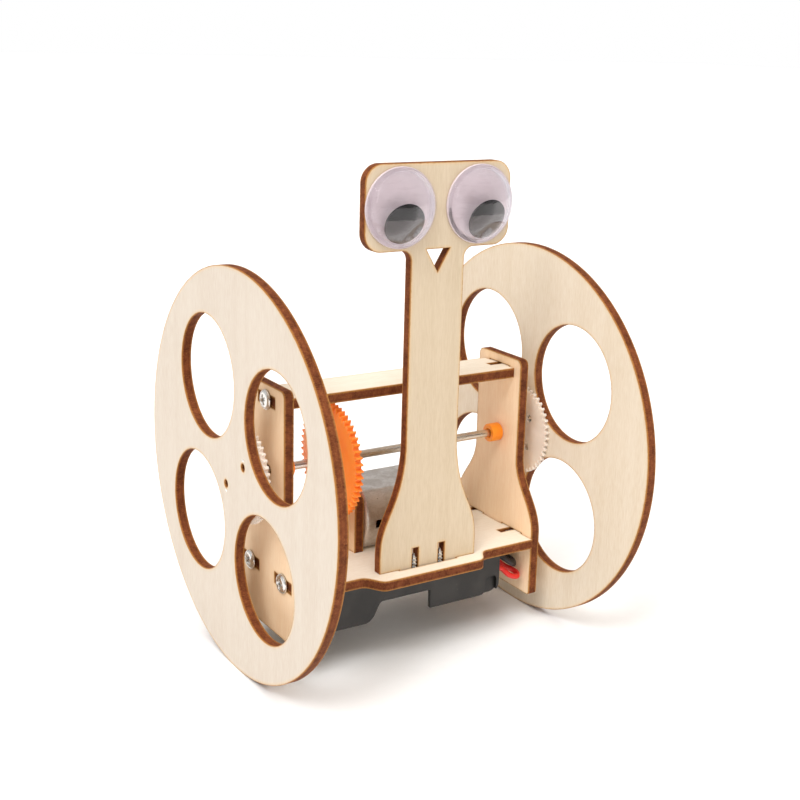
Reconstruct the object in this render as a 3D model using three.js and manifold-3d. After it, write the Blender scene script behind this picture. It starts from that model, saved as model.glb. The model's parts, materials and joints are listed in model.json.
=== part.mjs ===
// Two-wheel balancing robot car: a laser-cut plywood kit between two large disc wheels.
//
// Units are millimetres. X runs along the axle, with the left wheel at -X, the face looks
// along -Y and Z is up. The origin is on the floor, under the middle of the axle.

import * as THREE from 'three';
import { mergeVertices } from 'three/addons/utils/BufferGeometryUtils.js';
import Module from 'manifold-3d';

const wasm = await Module();
wasm.setup();

// ---------------------------------------------------------------- driving dimensions

const PLY = 2.5; // thickness of every plywood board
const FIT = 0.1; // slack between a tab and its mortise, on each side

const WHEEL_R = 48.5;
const WHEEL_INNER_X = 40.2;
const WINDOW_R = 14.85;
const WINDOW_PITCH_R = 25.2;
const LEFT_WINDOW_DEG = -35.9;
const RIGHT_WINDOW_DEG = -40.5;

const AXLE_R = 1;
const AXLE_Z = WHEEL_R;
const AXLE_END_X = 40;
const PRESS_GAP = 0.03; // left between a pressed bore and its shaft
const BEARING_GAP = 0.2; // left between a running shaft and its hole

const GEAR_MODULE = 0.5;
const PRESSURE_ANGLE = 20 * Math.PI / 180;
const BACKLASH = 0.14; // taken off each tooth at the pitch circle
const DRIVE_TEETH = 54;
const PINION_TEETH = 18;
const DRIVE_FACE_X = -18;
const DRIVE_THICK = 1.7;
const CENTRE_DISTANCE = GEAR_MODULE * (DRIVE_TEETH + PINION_TEETH) / 2;

const HUB_TEETH = 46;
const HUB_TIP_R = 11.8;
const HUB_ROOT_R = 10.95;
const HUB_THICK = 1;
const HUB_SCREW_PITCH_R = 5.6;
const HUB_BOSS_R = 2.5;
const HUB_BOSS_LENGTH = 2.5;

const FRAME_X = 0.6; // the frame stands this far to the right, within its play on the axle
const SIDE_INNER_X = 32.1; // from the frame's own middle, as is every X of its boards below
const SIDE_TOP_Z = 69.1;
const SIDE_BOTTOM_Z = 8.4;
const SIDE_UPPER_HALF = 8.9; // half depth, front to back, of the narrow upper part
const SIDE_LOWER_HALF = 16.8;
const FRAME_Y = 0.9; // the side plates' own centre line
const TAB_W = 8.4;
const TAB_END_X = 34.3;
const BAR_Z = 64.2; // underside of the top bar
const BASE_Z = 21.5; // underside of the base plate
const BASE_TOP_Z = BASE_Z + PLY;
const BASE_TAB_PITCH = 8.4; // each base tab's distance from the centre line
const SLOT_W = 1.8; // the narrow slot that a screw cuts its thread in
const BASE_SLOT_X = 28.1;
const BAR_SLOT_X = 28.7;

const BASE_NOSE_Y = -21;
const BASE_NOSE_HALF = 13;
const BASE_FRONT_Y = -16.5;
const BASE_SHOULDER_X = 18.4;
const BASE_BACK_Y = 17.9;

const NECK_FRONT_Y = -16.7;
const NECK_HALF = 7.2;
const NECK_FOOT_HALF = 13.65;
const NECK_TAB_HALF = 8.2;
const NECK_SLOT_X = 3.75;
const NECK_SLOT_TOP_Z = 28.9;
const NECK_SCREW_Y = NECK_FRONT_Y + 0.8; // the screws stand near the front of their slots
const NECK_SLACK = 0.25; // in front of the neck in the base, for the screws
const HEAD_BOTTOM_Z = 101;
const HEAD_TOP_Z = 120.5;
const HEAD_HALF = 19.5;
const HEAD_CORNER_R = 4.3;
const NECK_FILLET_R = 2.5;
const BEAK_HALF = 3.15;
const BEAK_TIP_Z = 95.7;

const EYE_X = 10.7;
const EYE_Z = 110.8;
const EYE_R = 9.1;
const PUPIL_R = 4.9;
const PUPIL_OFFSET = 3.15; // from the eye's centre to the pupil's centre
const PUPIL_LEAN = 21 * Math.PI / 180; // the pupil's inner edge leans out into the dome
const LEFT_PUPIL_DEG = -8; // swung towards +X from hanging straight down
const RIGHT_PUPIL_DEG = 6;

const SCREW_HEAD_R = 2.45;
const SCREW_HEAD_H = 1;
const SCREW_SHANK_R = 0.85;

const MOTOR_Z = 31.55;
const MOTOR_Y = Math.sqrt(CENTRE_DISTANCE ** 2 - (AXLE_Z - MOTOR_Z) ** 2);
const MOTOR_R = 10.05;
const MOTOR_FLAT = 7.55; // half the height across the can's two flats
const MOTOR_FRONT_X = -9.2;
const MOTOR_CAN_BACK_X = 11;
const MOTOR_BACK_X = 15.8;
const CAN_WALL = 0.5;

const HOLDER_LEFT_X = -31.1;
const HOLDER_RIGHT_X = 25.4;
const HOLDER_FRONT_Y = -12.8;
const HOLDER_BACK_Y = 17.8;
const HOLDER_BOTTOM_Z = 10;
const PAD_THICK = 0.5; // foam tape between the holder and the base
const HOLDER_TOP_Z = BASE_Z - PAD_THICK;
const HOLDER_WALL = 1.4;

// ---------------------------------------------------------------- materials

function material(color, roughness, metalness) {
  return new THREE.MeshStandardMaterial({ color, roughness, metalness });
}

const plywood = () => material(0xf0e1d0, 0.75, 0);
const steel = () => material(0xc8c8c8, 0.3, 1);
const galvanised = () => material(0xb5b0a8, 0.4, 1);
const brass = () => material(0xc9a35a, 0.35, 1);
const copper = () => material(0xb8693a, 0.4, 1);
const magnet = () => material(0x3c3a3a, 0.6, 0.2);
const orangePlastic = () => material(0xff7d32, 0.45, 0);
const milkyPlastic = () => material(0xe8ddd0, 0.4, 0);
const whitePlastic = () => material(0xe2dae2, 0.35, 0);
const clearPlastic = () => material(0xeeeaf2, 0.1, 0);
const blackPlastic = () => material(0x3c3837, 0.6, 0);
const redVinyl = () => material(0xd93228, 0.45, 0);
const blackVinyl = () => material(0x1e1c1c, 0.45, 0);
const foam = () => material(0xe6e2d8, 0.9, 0);

// ---------------------------------------------------------------- scene graph helpers

const car = new THREE.Group();

// A profile drawn in (u, v) and thickened along w is stood up by one of these turns.
const ALONG_X = [Math.PI / 2, Math.PI / 2, 0]; // u = +Y, v = +Z, w = +X
const ALONG_Y = [Math.PI / 2, 0, 0]; // u = +X, v = +Z, w = -Y
const ALONG_Z = [0, 0, 0];
// A lathe turned about its own y axis points along one of these directions.
const LATHE_TO_X = [0, 0, -Math.PI / 2];
const LATHE_TO_MINUS_X = [0, 0, Math.PI / 2];
const LATHE_TO_MINUS_Y = [Math.PI, 0, 0];
const LATHE_TO_MINUS_Z = [-Math.PI / 2, 0, 0];

function add(name, geometry, look, position, turn = ALONG_Z) {
  const mesh = new THREE.Mesh(geometry, look);
  mesh.name = name;
  mesh.position.set(...position);
  mesh.rotation.set(...turn);
  car.add(mesh);
}

// The same outline as straight runs, with no two neighbouring corners in one place.
function polygonOf(shape, curveSegments) {
  const points = shape.getPoints(curveSegments);
  const apart = (point, i) => point.distanceTo(points.at(i - 1)) > 1e-4;
  return new THREE.Shape(points.filter(apart));
}

function prism(outline, depth) {
  return new THREE.ExtrudeGeometry(outline, { depth, bevelEnabled: false });
}

// An outline thickened along w, with each of its holes cut right through.
function extrude(shape, depth, curveSegments = 12) {
  const outside = prism(polygonOf(shape, curveSegments), depth);
  if (shape.holes.length === 0) return outside;
  const cutters = shape.holes.map((hole) => {
    return solid(prism(polygonOf(hole, curveSegments), depth + 2).translate(0, 0, -1));
  });
  return geometryOf(cutters.reduce((whole, cutter) => whole.subtract(cutter), solid(outside)));
}

function board(shape, curveSegments) {
  return extrude(shape, PLY, curveSegments);
}

function lathe(points, segments) {
  return new THREE.LatheGeometry(points.map(([r, h]) => new THREE.Vector2(r, h)), segments);
}

// A regular polygon path, with a corner at its first angle, so that shaft and bore facets match.
function ring(cu, cv, radius, count, clockwise = true) {
  const path = new THREE.Path();
  for (let i = 0; i < count; i++) {
    const angle = (clockwise ? -1 : 1) * 2 * Math.PI * i / count;
    const u = cu + radius * Math.cos(angle);
    const v = cv + radius * Math.sin(angle);
    if (i === 0) path.moveTo(u, v);
    else path.lineTo(u, v);
  }
  path.closePath();
  return path;
}

function disc(radius, count) {
  return new THREE.Shape(ring(0, 0, radius, count, false).getPoints());
}

function rectangle(u0, v0, u1, v1) {
  const path = new THREE.Shape();
  path.moveTo(u0, v0);
  path.lineTo(u1, v0);
  path.lineTo(u1, v1);
  path.lineTo(u0, v1);
  path.closePath();
  return path;
}

function block(x0, y0, z0, x1, y1, z1) {
  const geometry = new THREE.BoxGeometry(x1 - x0, y1 - y0, z1 - z0);
  return geometry.translate((x0 + x1) / 2, (y0 + y1) / 2, (z0 + z1) / 2);
}

// A round wire along a smooth curve through the given points.
function wire(points, radius, sides, steps) {
  const path = new THREE.CatmullRomCurve3(points.map((point) => new THREE.Vector3(...point)));
  const section = disc(radius, sides);
  return new THREE.ExtrudeGeometry(section, { steps, bevelEnabled: false, extrudePath: path });
}

function solid(geometry) {
  const bare = geometry.clone();
  bare.deleteAttribute('normal');
  bare.deleteAttribute('uv');
  const merged = mergeVertices(bare, 1e-4);
  return new wasm.Manifold(new wasm.Mesh({
    numProp: 3,
    vertProperties: new Float32Array(merged.attributes.position.array),
    triVerts: new Uint32Array(merged.index.array),
  }));
}

function geometryOf(manifold) {
  const mesh = manifold.getMesh();
  const geometry = new THREE.BufferGeometry();
  geometry.setAttribute('position', new THREE.BufferAttribute(mesh.vertProperties, 3));
  geometry.setIndex(new THREE.BufferAttribute(mesh.triVerts, 1));
  return geometry;
}

function joined(...geometries) {
  return geometries.map(solid).reduce((whole, piece) => whole.add(piece));
}

// ---------------------------------------------------------------- gears

// Half the angle that a tooth fills at a radius, on an involute of the given base circle.
function toothHalfAngle(teeth, radius) {
  const pitchR = GEAR_MODULE * teeth / 2;
  const baseR = pitchR * Math.cos(PRESSURE_ANGLE);
  const involute = (r) => {
    const angle = Math.acos(Math.min(1, baseR / r));
    return Math.tan(angle) - angle;
  };
  const atPitch = Math.PI / (2 * teeth) - BACKLASH / (2 * pitchR);
  return atPitch + involute(pitchR) - involute(Math.max(radius, baseR));
}

// A spur gear outline with its first tooth centred on an angle.
function gearShape(teeth, rootR, tipR, firstTooth, halfAngleAt, radii) {
  const shape = new THREE.Shape();
  const flank = [rootR, ...radii, tipR];
  for (let tooth = 0; tooth < teeth; tooth++) {
    const centre = firstTooth + 2 * Math.PI * tooth / teeth;
    const rising = flank.map((r) => [r, centre - halfAngleAt(r)]);
    const falling = flank.toReversed().map((r) => [r, centre + halfAngleAt(r)]);
    for (const [r, angle] of [...rising, ...falling]) {
      const u = r * Math.cos(angle);
      const v = r * Math.sin(angle);
      if (tooth === 0 && r === rootR && angle < centre) shape.moveTo(u, v);
      else shape.lineTo(u, v);
    }
  }
  shape.closePath();
  return shape;
}

function spurShape(teeth, firstTooth) {
  const pitchR = GEAR_MODULE * teeth / 2;
  return gearShape(
    teeth,
    pitchR - 1.25 * GEAR_MODULE,
    pitchR + GEAR_MODULE,
    firstTooth,
    (r) => toothHalfAngle(teeth, r),
    [pitchR],
  );
}

// ---------------------------------------------------------------- wheels and axle

const WHEEL_FACETS = 96;
const SHAFT_FACETS = 20;

function wheelGeometry(windowDeg) {
  const shape = disc(WHEEL_R, WHEEL_FACETS);
  for (let quarter = 0; quarter < 4; quarter++) {
    const angle = THREE.MathUtils.degToRad(windowDeg + 90 * quarter);
    const u = WINDOW_PITCH_R * Math.cos(angle);
    const v = WINDOW_PITCH_R * Math.sin(angle);
    shape.holes.push(ring(u, v, WINDOW_R, 36));
  }
  for (const [u, v] of hubScrewPlaces(windowDeg)) {
    shape.holes.push(ring(u, v, SCREW_SHANK_R + 0.1, 10));
  }
  return board(shape);
}

// The two hub screws stand on the line between two windows of the same wheel.
function hubScrewPlaces(windowDeg) {
  const angle = THREE.MathUtils.degToRad(windowDeg);
  const u = HUB_SCREW_PITCH_R * Math.cos(angle);
  const v = HUB_SCREW_PITCH_R * Math.sin(angle);
  return [[u, v], [-u, -v]];
}

function hubGearGeometry(windowDeg, side) {
  const halfTooth = Math.PI / HUB_TEETH;
  const halfAngleAt = (r) => halfTooth * (r === HUB_TIP_R ? 0.3 : 0.68);
  const shape = gearShape(HUB_TEETH, HUB_ROOT_R, HUB_TIP_R, 0, halfAngleAt, []);
  const boss = disc(HUB_BOSS_R, 24);
  const boreR = AXLE_R + PRESS_GAP;
  for (const outline of [shape, boss]) {
    outline.holes.push(ring(0, 0, boreR, SHAFT_FACETS));
  }
  for (const [u, v] of hubScrewPlaces(windowDeg)) {
    shape.holes.push(ring(u, v, SCREW_SHANK_R + 0.1, 10));
    shape.holes.push(ring(-v, u, SCREW_SHANK_R + 0.1, 10));
  }
  const face = extrude(shape, HUB_THICK);
  const bossGeometry = extrude(boss, HUB_BOSS_LENGTH + 0.5);
  const bossStart = side > 0 ? -HUB_BOSS_LENGTH : HUB_THICK - 0.5;
  return geometryOf(joined(face, bossGeometry.translate(0, 0, bossStart)));
}

// A pan-head screw whose head starts at height 0 and whose shank runs down from it.
function screwGeometry(length) {
  const points = [
    [0, -length],
    [SCREW_SHANK_R * 0.3, -length],
    [SCREW_SHANK_R, -length + 0.8],
    [SCREW_SHANK_R, 0],
    [SCREW_HEAD_R, 0],
    [SCREW_HEAD_R * 0.92, SCREW_HEAD_H * 0.6],
    [SCREW_HEAD_R * 0.5, SCREW_HEAD_H],
    [0, SCREW_HEAD_H],
  ];
  return lathe(points, 12);
}

function addWheel(name, side, windowDeg) {
  const gearX = side > 0 ? WHEEL_INNER_X - HUB_THICK : -WHEEL_INNER_X;
  const wheelX = side > 0 ? WHEEL_INNER_X : -WHEEL_INNER_X - PLY;
  add(`${name}_wheel`, wheelGeometry(windowDeg), plywood(), [wheelX, 0, AXLE_Z], ALONG_X);
  const gear = hubGearGeometry(windowDeg, side);
  add(`${name}_hub_gear`, gear, milkyPlastic(), [gearX, 0, AXLE_Z], ALONG_X);
  const headX = side * (WHEEL_INNER_X - HUB_THICK);
  const turn = side > 0 ? LATHE_TO_MINUS_X : LATHE_TO_X;
  hubScrewPlaces(windowDeg).forEach(([u, v], index) => {
    const place = [headX, u, AXLE_Z + v];
    add(`${name}_hub_screw_${index + 1}`, screwGeometry(HUB_THICK + PLY - 0.2), steel(), place, turn);
  });
}

addWheel('left', -1, LEFT_WINDOW_DEG);
addWheel('right', 1, RIGHT_WINDOW_DEG);

const axleRod = extrude(disc(AXLE_R, SHAFT_FACETS), 2 * AXLE_END_X);
add('axle', axleRod, steel(), [-AXLE_END_X, 0, AXLE_Z], ALONG_X);

const COLLAR_R = 2.35;
const COLLAR_LENGTH = 3.2;
const COLLAR_GAP = 0.2; // between a collar and its side plate

function addCollar(name, startX) {
  const shape = disc(COLLAR_R, 24);
  shape.holes.push(ring(0, 0, AXLE_R + PRESS_GAP, SHAFT_FACETS));
  add(name, extrude(shape, COLLAR_LENGTH), orangePlastic(), [startX, 0, AXLE_Z], ALONG_X);
}

addCollar('left_collar', FRAME_X - SIDE_INNER_X + COLLAR_GAP);
addCollar('right_collar', FRAME_X + SIDE_INNER_X - COLLAR_GAP - COLLAR_LENGTH);

// ---------------------------------------------------------------- drive gear and pinion

// The line of centres, seen from the axle; a drive tooth and a pinion gap both lie on it.
const MESH_ANGLE = Math.atan2(MOTOR_Z - AXLE_Z, MOTOR_Y);
const DRIVE_HUB_R = 3.2;
const DRIVE_HUB_LENGTH = 3;

function driveGearGeometry() {
  const shape = spurShape(DRIVE_TEETH, MESH_ANGLE);
  const hub = disc(DRIVE_HUB_R, 24);
  for (const outline of [shape, hub]) {
    outline.holes.push(ring(0, 0, AXLE_R + PRESS_GAP, SHAFT_FACETS));
  }
  const hubGeometry = extrude(hub, DRIVE_HUB_LENGTH + 0.5).translate(0, 0, DRIVE_THICK - 0.5);
  return geometryOf(joined(extrude(shape, DRIVE_THICK), hubGeometry));
}

add('drive_gear', driveGearGeometry(), orangePlastic(), [DRIVE_FACE_X, 0, AXLE_Z], ALONG_X);

const PINION_FACE_X = -18.4;
const PINION_THICK = 3;
const pinionShape = spurShape(PINION_TEETH, MESH_ANGLE + Math.PI + Math.PI / PINION_TEETH);
pinionShape.holes.push(ring(0, 0, AXLE_R + PRESS_GAP, SHAFT_FACETS));
const pinionPlace = [PINION_FACE_X, MOTOR_Y, MOTOR_Z];
add('pinion', extrude(pinionShape, PINION_THICK), milkyPlastic(), pinionPlace, ALONG_X);

// ---------------------------------------------------------------- side plates

function sidePlateShape() {
  const shape = new THREE.Shape();
  const cornerR = 1.7;
  const footR = 0.8;
  const waistTopZ = 43;
  const waistBottomZ = 25;
  const at = (halfDepth, side) => FRAME_Y + side * halfDepth;
  shape.moveTo(at(SIDE_LOWER_HALF - footR, -1), SIDE_BOTTOM_Z);
  shape.lineTo(at(SIDE_LOWER_HALF - footR, 1), SIDE_BOTTOM_Z);
  shape.absarc(at(SIDE_LOWER_HALF - footR, 1), SIDE_BOTTOM_Z + footR, footR, -Math.PI / 2, 0);
  shape.lineTo(at(SIDE_LOWER_HALF, 1), waistBottomZ);
  shape.bezierCurveTo(at(SIDE_LOWER_HALF, 1), 32.4, at(9, 1), 36, at(SIDE_UPPER_HALF, 1), waistTopZ);
  shape.lineTo(at(SIDE_UPPER_HALF, 1), SIDE_TOP_Z - cornerR);
  shape.absarc(at(SIDE_UPPER_HALF - cornerR, 1), SIDE_TOP_Z - cornerR, cornerR, 0, Math.PI / 2);
  shape.lineTo(at(SIDE_UPPER_HALF - cornerR, -1), SIDE_TOP_Z);
  shape.absarc(at(SIDE_UPPER_HALF - cornerR, -1), SIDE_TOP_Z - cornerR, cornerR, Math.PI / 2, Math.PI);
  shape.lineTo(at(SIDE_UPPER_HALF, -1), waistTopZ);
  shape.bezierCurveTo(at(9, -1), 36, at(SIDE_LOWER_HALF, -1), 32.4, at(SIDE_LOWER_HALF, -1), waistBottomZ);
  shape.lineTo(at(SIDE_LOWER_HALF, -1), SIDE_BOTTOM_Z + footR);
  shape.absarc(at(SIDE_LOWER_HALF - footR, -1), SIDE_BOTTOM_Z + footR, footR, Math.PI, 3 * Math.PI / 2);
  shape.holes.push(ring(0, AXLE_Z, AXLE_R + BEARING_GAP, SHAFT_FACETS));
  for (const [y, z] of mortisePlaces()) {
    shape.holes.push(rectangle(y - TAB_W / 2 - FIT, z - FIT, y + TAB_W / 2 + FIT, z + PLY + FIT));
  }
  return shape;
}

// Middle of each mortise along Y, and the underside of the board whose tab it takes.
function mortisePlaces() {
  return [
    [FRAME_Y, BAR_Z],
    [FRAME_Y - BASE_TAB_PITCH, BASE_Z],
    [FRAME_Y + BASE_TAB_PITCH, BASE_Z],
  ];
}

const SIDE_SCREW_NAMES = ['bar_screw', 'base_screw_front', 'base_screw_back'];
const SIDE_SCREW_LENGTH = 5.7;

function addSidePlate(name, side) {
  const startX = FRAME_X + (side > 0 ? SIDE_INNER_X : -SIDE_INNER_X - PLY);
  add(`${name}_side_plate`, board(sidePlateShape(), 6), plywood(), [startX, 0, 0], ALONG_X);
  const headX = FRAME_X + side * (SIDE_INNER_X + PLY);
  const turn = side > 0 ? LATHE_TO_X : LATHE_TO_MINUS_X;
  mortisePlaces().forEach(([y, z], index) => {
    const place = [headX, y, z + PLY / 2];
    add(`${name}_${SIDE_SCREW_NAMES[index]}`, screwGeometry(SIDE_SCREW_LENGTH), steel(), place, turn);
  });
}

addSidePlate('left', -1);
addSidePlate('right', 1);

// ---------------------------------------------------------------- base plate and top bar

const BOARD_END_X = SIDE_INNER_X - 0.05;

// The end of a board at one side: a straight edge with slotted tabs that stand out of it.
function addTabs(shape, side, tabCentres, slotX) {
  const tip = FRAME_X + side * TAB_END_X;
  const root = FRAME_X + side * BOARD_END_X;
  const slotEnd = FRAME_X + side * slotX;
  for (const centre of tabCentres) {
    const first = centre - side * TAB_W / 2;
    const last = centre + side * TAB_W / 2;
    const slotFirst = centre - side * SLOT_W / 2;
    const slotLast = centre + side * SLOT_W / 2;
    shape.lineTo(root, first);
    shape.lineTo(tip, first);
    shape.lineTo(tip, slotFirst);
    shape.lineTo(slotEnd, slotFirst);
    shape.lineTo(slotEnd, slotLast);
    shape.lineTo(tip, slotLast);
    shape.lineTo(tip, last);
    shape.lineTo(root, last);
  }
}

const BRACKET_X = MOTOR_FRONT_X - PLY;
const BRACKET_HALF = 8.5;
const BRACKET_TOP_Z = 38.1;
const BRACKET_TAB_HALF = 5;
const NECK_BACK_Y = NECK_FRONT_Y + PLY;

function basePlateShape() {
  const shape = new THREE.Shape();
  const tabs = [FRAME_Y - BASE_TAB_PITCH, FRAME_Y + BASE_TAB_PITCH];
  const bend = (BASE_SHOULDER_X + BASE_NOSE_HALF) / 2;
  shape.moveTo(-BASE_NOSE_HALF, BASE_NOSE_Y);
  shape.lineTo(BASE_NOSE_HALF, BASE_NOSE_Y);
  shape.bezierCurveTo(bend, BASE_NOSE_Y, bend, BASE_FRONT_Y, BASE_SHOULDER_X, BASE_FRONT_Y);
  shape.lineTo(FRAME_X + BOARD_END_X, BASE_FRONT_Y);
  addTabs(shape, 1, tabs, BASE_SLOT_X);
  shape.lineTo(FRAME_X + BOARD_END_X, BASE_BACK_Y);
  shape.lineTo(FRAME_X - BOARD_END_X, BASE_BACK_Y);
  addTabs(shape, -1, tabs.toReversed(), BASE_SLOT_X);
  shape.lineTo(FRAME_X - BOARD_END_X, BASE_FRONT_Y);
  shape.lineTo(-BASE_SHOULDER_X, BASE_FRONT_Y);
  shape.bezierCurveTo(-bend, BASE_FRONT_Y, -bend, BASE_NOSE_Y, -BASE_NOSE_HALF, BASE_NOSE_Y);
  const neckHalf = NECK_TAB_HALF + FIT;
  shape.holes.push(rectangle(
    FRAME_X - neckHalf,
    NECK_FRONT_Y - NECK_SLACK,
    FRAME_X + neckHalf,
    NECK_BACK_Y + FIT,
  ));
  const bracketHalf = BRACKET_TAB_HALF + FIT;
  shape.holes.push(rectangle(
    BRACKET_X - FIT,
    MOTOR_Y - bracketHalf,
    BRACKET_X + PLY + FIT,
    MOTOR_Y + bracketHalf,
  ));
  return shape;
}

add('base_plate', board(basePlateShape(), 8), plywood(), [0, 0, BASE_Z], ALONG_Z);

function topBarShape() {
  const half = 6.3;
  const shape = new THREE.Shape();
  shape.moveTo(FRAME_X - BOARD_END_X, FRAME_Y - half);
  shape.lineTo(FRAME_X + BOARD_END_X, FRAME_Y - half);
  addTabs(shape, 1, [FRAME_Y], BAR_SLOT_X);
  shape.lineTo(FRAME_X + BOARD_END_X, FRAME_Y + half);
  shape.lineTo(FRAME_X - BOARD_END_X, FRAME_Y + half);
  addTabs(shape, -1, [FRAME_Y], BAR_SLOT_X);
  shape.closePath();
  return shape;
}

add('top_bar', board(topBarShape()), plywood(), [0, 0, BAR_Z], ALONG_Z);

// ---------------------------------------------------------------- neck and head

function neckHeadShape() {
  const shape = new THREE.Shape();
  const tabZ = BASE_Z + 0.2;
  const footZ = BASE_TOP_Z;
  const halfSlot = SLOT_W / 2;
  const waistZ = 55;
  shape.moveTo(-NECK_TAB_HALF, tabZ);
  for (const centre of [-NECK_SLOT_X, NECK_SLOT_X]) {
    shape.lineTo(centre - halfSlot, tabZ);
    shape.lineTo(centre - halfSlot, NECK_SLOT_TOP_Z);
    shape.lineTo(centre + halfSlot, NECK_SLOT_TOP_Z);
    shape.lineTo(centre + halfSlot, tabZ);
  }
  shape.lineTo(NECK_TAB_HALF, tabZ);
  shape.lineTo(NECK_TAB_HALF, footZ);
  shape.lineTo(NECK_FOOT_HALF, footZ);
  shape.lineTo(NECK_FOOT_HALF, 29);
  shape.bezierCurveTo(NECK_FOOT_HALF, 38, 7.6, 40, NECK_HALF, waistZ);
  shape.lineTo(NECK_HALF, HEAD_BOTTOM_Z - NECK_FILLET_R);
  shape.absarc(
    NECK_HALF + NECK_FILLET_R,
    HEAD_BOTTOM_Z - NECK_FILLET_R,
    NECK_FILLET_R,
    Math.PI,
    Math.PI / 2,
    true,
  );
  const cornerX = HEAD_HALF - HEAD_CORNER_R;
  const lowZ = HEAD_BOTTOM_Z + HEAD_CORNER_R;
  const highZ = HEAD_TOP_Z - HEAD_CORNER_R;
  shape.absarc(cornerX, lowZ, HEAD_CORNER_R, -Math.PI / 2, 0);
  shape.absarc(cornerX, highZ, HEAD_CORNER_R, 0, Math.PI / 2);
  shape.absarc(-cornerX, highZ, HEAD_CORNER_R, Math.PI / 2, Math.PI);
  shape.absarc(-cornerX, lowZ, HEAD_CORNER_R, Math.PI, 3 * Math.PI / 2);
  shape.absarc(
    -NECK_HALF - NECK_FILLET_R,
    HEAD_BOTTOM_Z - NECK_FILLET_R,
    NECK_FILLET_R,
    Math.PI / 2,
    0,
    true,
  );
  shape.lineTo(-NECK_HALF, waistZ);
  shape.bezierCurveTo(-7.6, 40, -NECK_FOOT_HALF, 38, -NECK_FOOT_HALF, 29);
  shape.lineTo(-NECK_FOOT_HALF, footZ);
  shape.lineTo(-NECK_TAB_HALF, footZ);
  const beak = new THREE.Path();
  beak.moveTo(-BEAK_HALF, HEAD_BOTTOM_Z);
  beak.lineTo(BEAK_HALF, HEAD_BOTTOM_Z);
  beak.lineTo(0, BEAK_TIP_Z);
  beak.closePath();
  shape.holes.push(beak);
  return shape;
}

add('neck_head_plate', board(neckHeadShape(), 8), plywood(), [FRAME_X, NECK_BACK_Y, 0], ALONG_Y);

const NECK_SCREW_LENGTH = 6;
for (const [name, side] of [['left', -1], ['right', 1]]) {
  const place = [FRAME_X + side * NECK_SLOT_X, NECK_SCREW_Y, BASE_Z];
  add(`${name}_neck_screw`, screwGeometry(NECK_SCREW_LENGTH), steel(), place, LATHE_TO_MINUS_Z);
}

// ---------------------------------------------------------------- googly eyes

const EYE_BACK_THICK = 0.8;
const PUPIL_THICK = 0.4;
const PUPIL_CLEARANCE = 0.25; // from the pupil's lowest edge to the eye's back
const DOME_WALL = 0.4;
const DOME_R = 8.5;
const DOME_SIDE_H = 0.6;
const DOME_RISE = 4.4;
const FLANGE_THICK = 0.4;
const EYE_FACETS = 32;

// A clear shell, open at its back: a flange, a low upright wall and a spherical cap.
function domeGeometry() {
  const steps = 6;
  const sphereR = (DOME_R ** 2 + DOME_RISE ** 2) / (2 * DOME_RISE);
  const sphereH = DOME_SIDE_H + DOME_RISE - sphereR;
  const cap = (radius, baseR) => {
    const points = [];
    for (let i = 0; i <= steps; i++) {
      const angle = Math.asin(baseR / radius) * (1 - i / steps);
      points.push([radius * Math.sin(angle), sphereH + radius * Math.cos(angle)]);
    }
    return points;
  };
  const innerR = DOME_R - DOME_WALL;
  const inner = cap(sphereR - DOME_WALL, innerR);
  const outer = cap(sphereR, DOME_R);
  const flange = [[innerR, 0], [EYE_R, 0], [EYE_R, FLANGE_THICK], [DOME_R, FLANGE_THICK]];
  return lathe([...inner.toReversed(), ...flange, ...outer], EYE_FACETS);
}

// A loose disc at the bottom of the dome, its upper edge leaning forward, drawn about the eye's axis.
function pupilGeometry(pupilDeg) {
  const disc = lathe([[0, 0], [PUPIL_R, 0], [PUPIL_R, PUPIL_THICK], [0, PUPIL_THICK]], 28);
  const depth = PUPIL_CLEARANCE + PUPIL_R * Math.sin(PUPIL_LEAN);
  const leaning = disc.rotateX(Math.PI + PUPIL_LEAN).translate(0, -depth, -PUPIL_OFFSET);
  return leaning.rotateY(-THREE.MathUtils.degToRad(pupilDeg));
}

function addEye(name, centreX, pupilDeg) {
  const backPoints = [[0, 0], [EYE_R - 0.3, 0], [EYE_R, EYE_BACK_THICK], [0, EYE_BACK_THICK]];
  const place = [centreX, NECK_FRONT_Y, EYE_Z];
  add(`${name}_eye_back`, lathe(backPoints, EYE_FACETS), whitePlastic(), place, LATHE_TO_MINUS_Y);
  const frontPlace = [centreX, NECK_FRONT_Y - EYE_BACK_THICK, EYE_Z];
  add(`${name}_eye_dome`, domeGeometry(), clearPlastic(), frontPlace, LATHE_TO_MINUS_Y);
  add(`${name}_pupil`, pupilGeometry(pupilDeg), blackPlastic(), frontPlace);
}

addEye('left', FRAME_X - EYE_X, LEFT_PUPIL_DEG);
addEye('right', FRAME_X + EYE_X, RIGHT_PUPIL_DEG);

// ---------------------------------------------------------------- motor and its bracket

const BOSS_R = 3;
const BOSS_LENGTH = 1.7;

// The can's section: a circle with flats at the top and bottom, drawn about its own axis.
function canShape(inset) {
  const radius = MOTOR_R - inset;
  const flat = MOTOR_FLAT - inset;
  const edge = Math.asin(flat / radius);
  const shape = new THREE.Shape();
  shape.absarc(0, 0, radius, -edge, edge);
  shape.absarc(0, 0, radius, Math.PI - edge, Math.PI + edge);
  shape.closePath();
  return shape;
}

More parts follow.
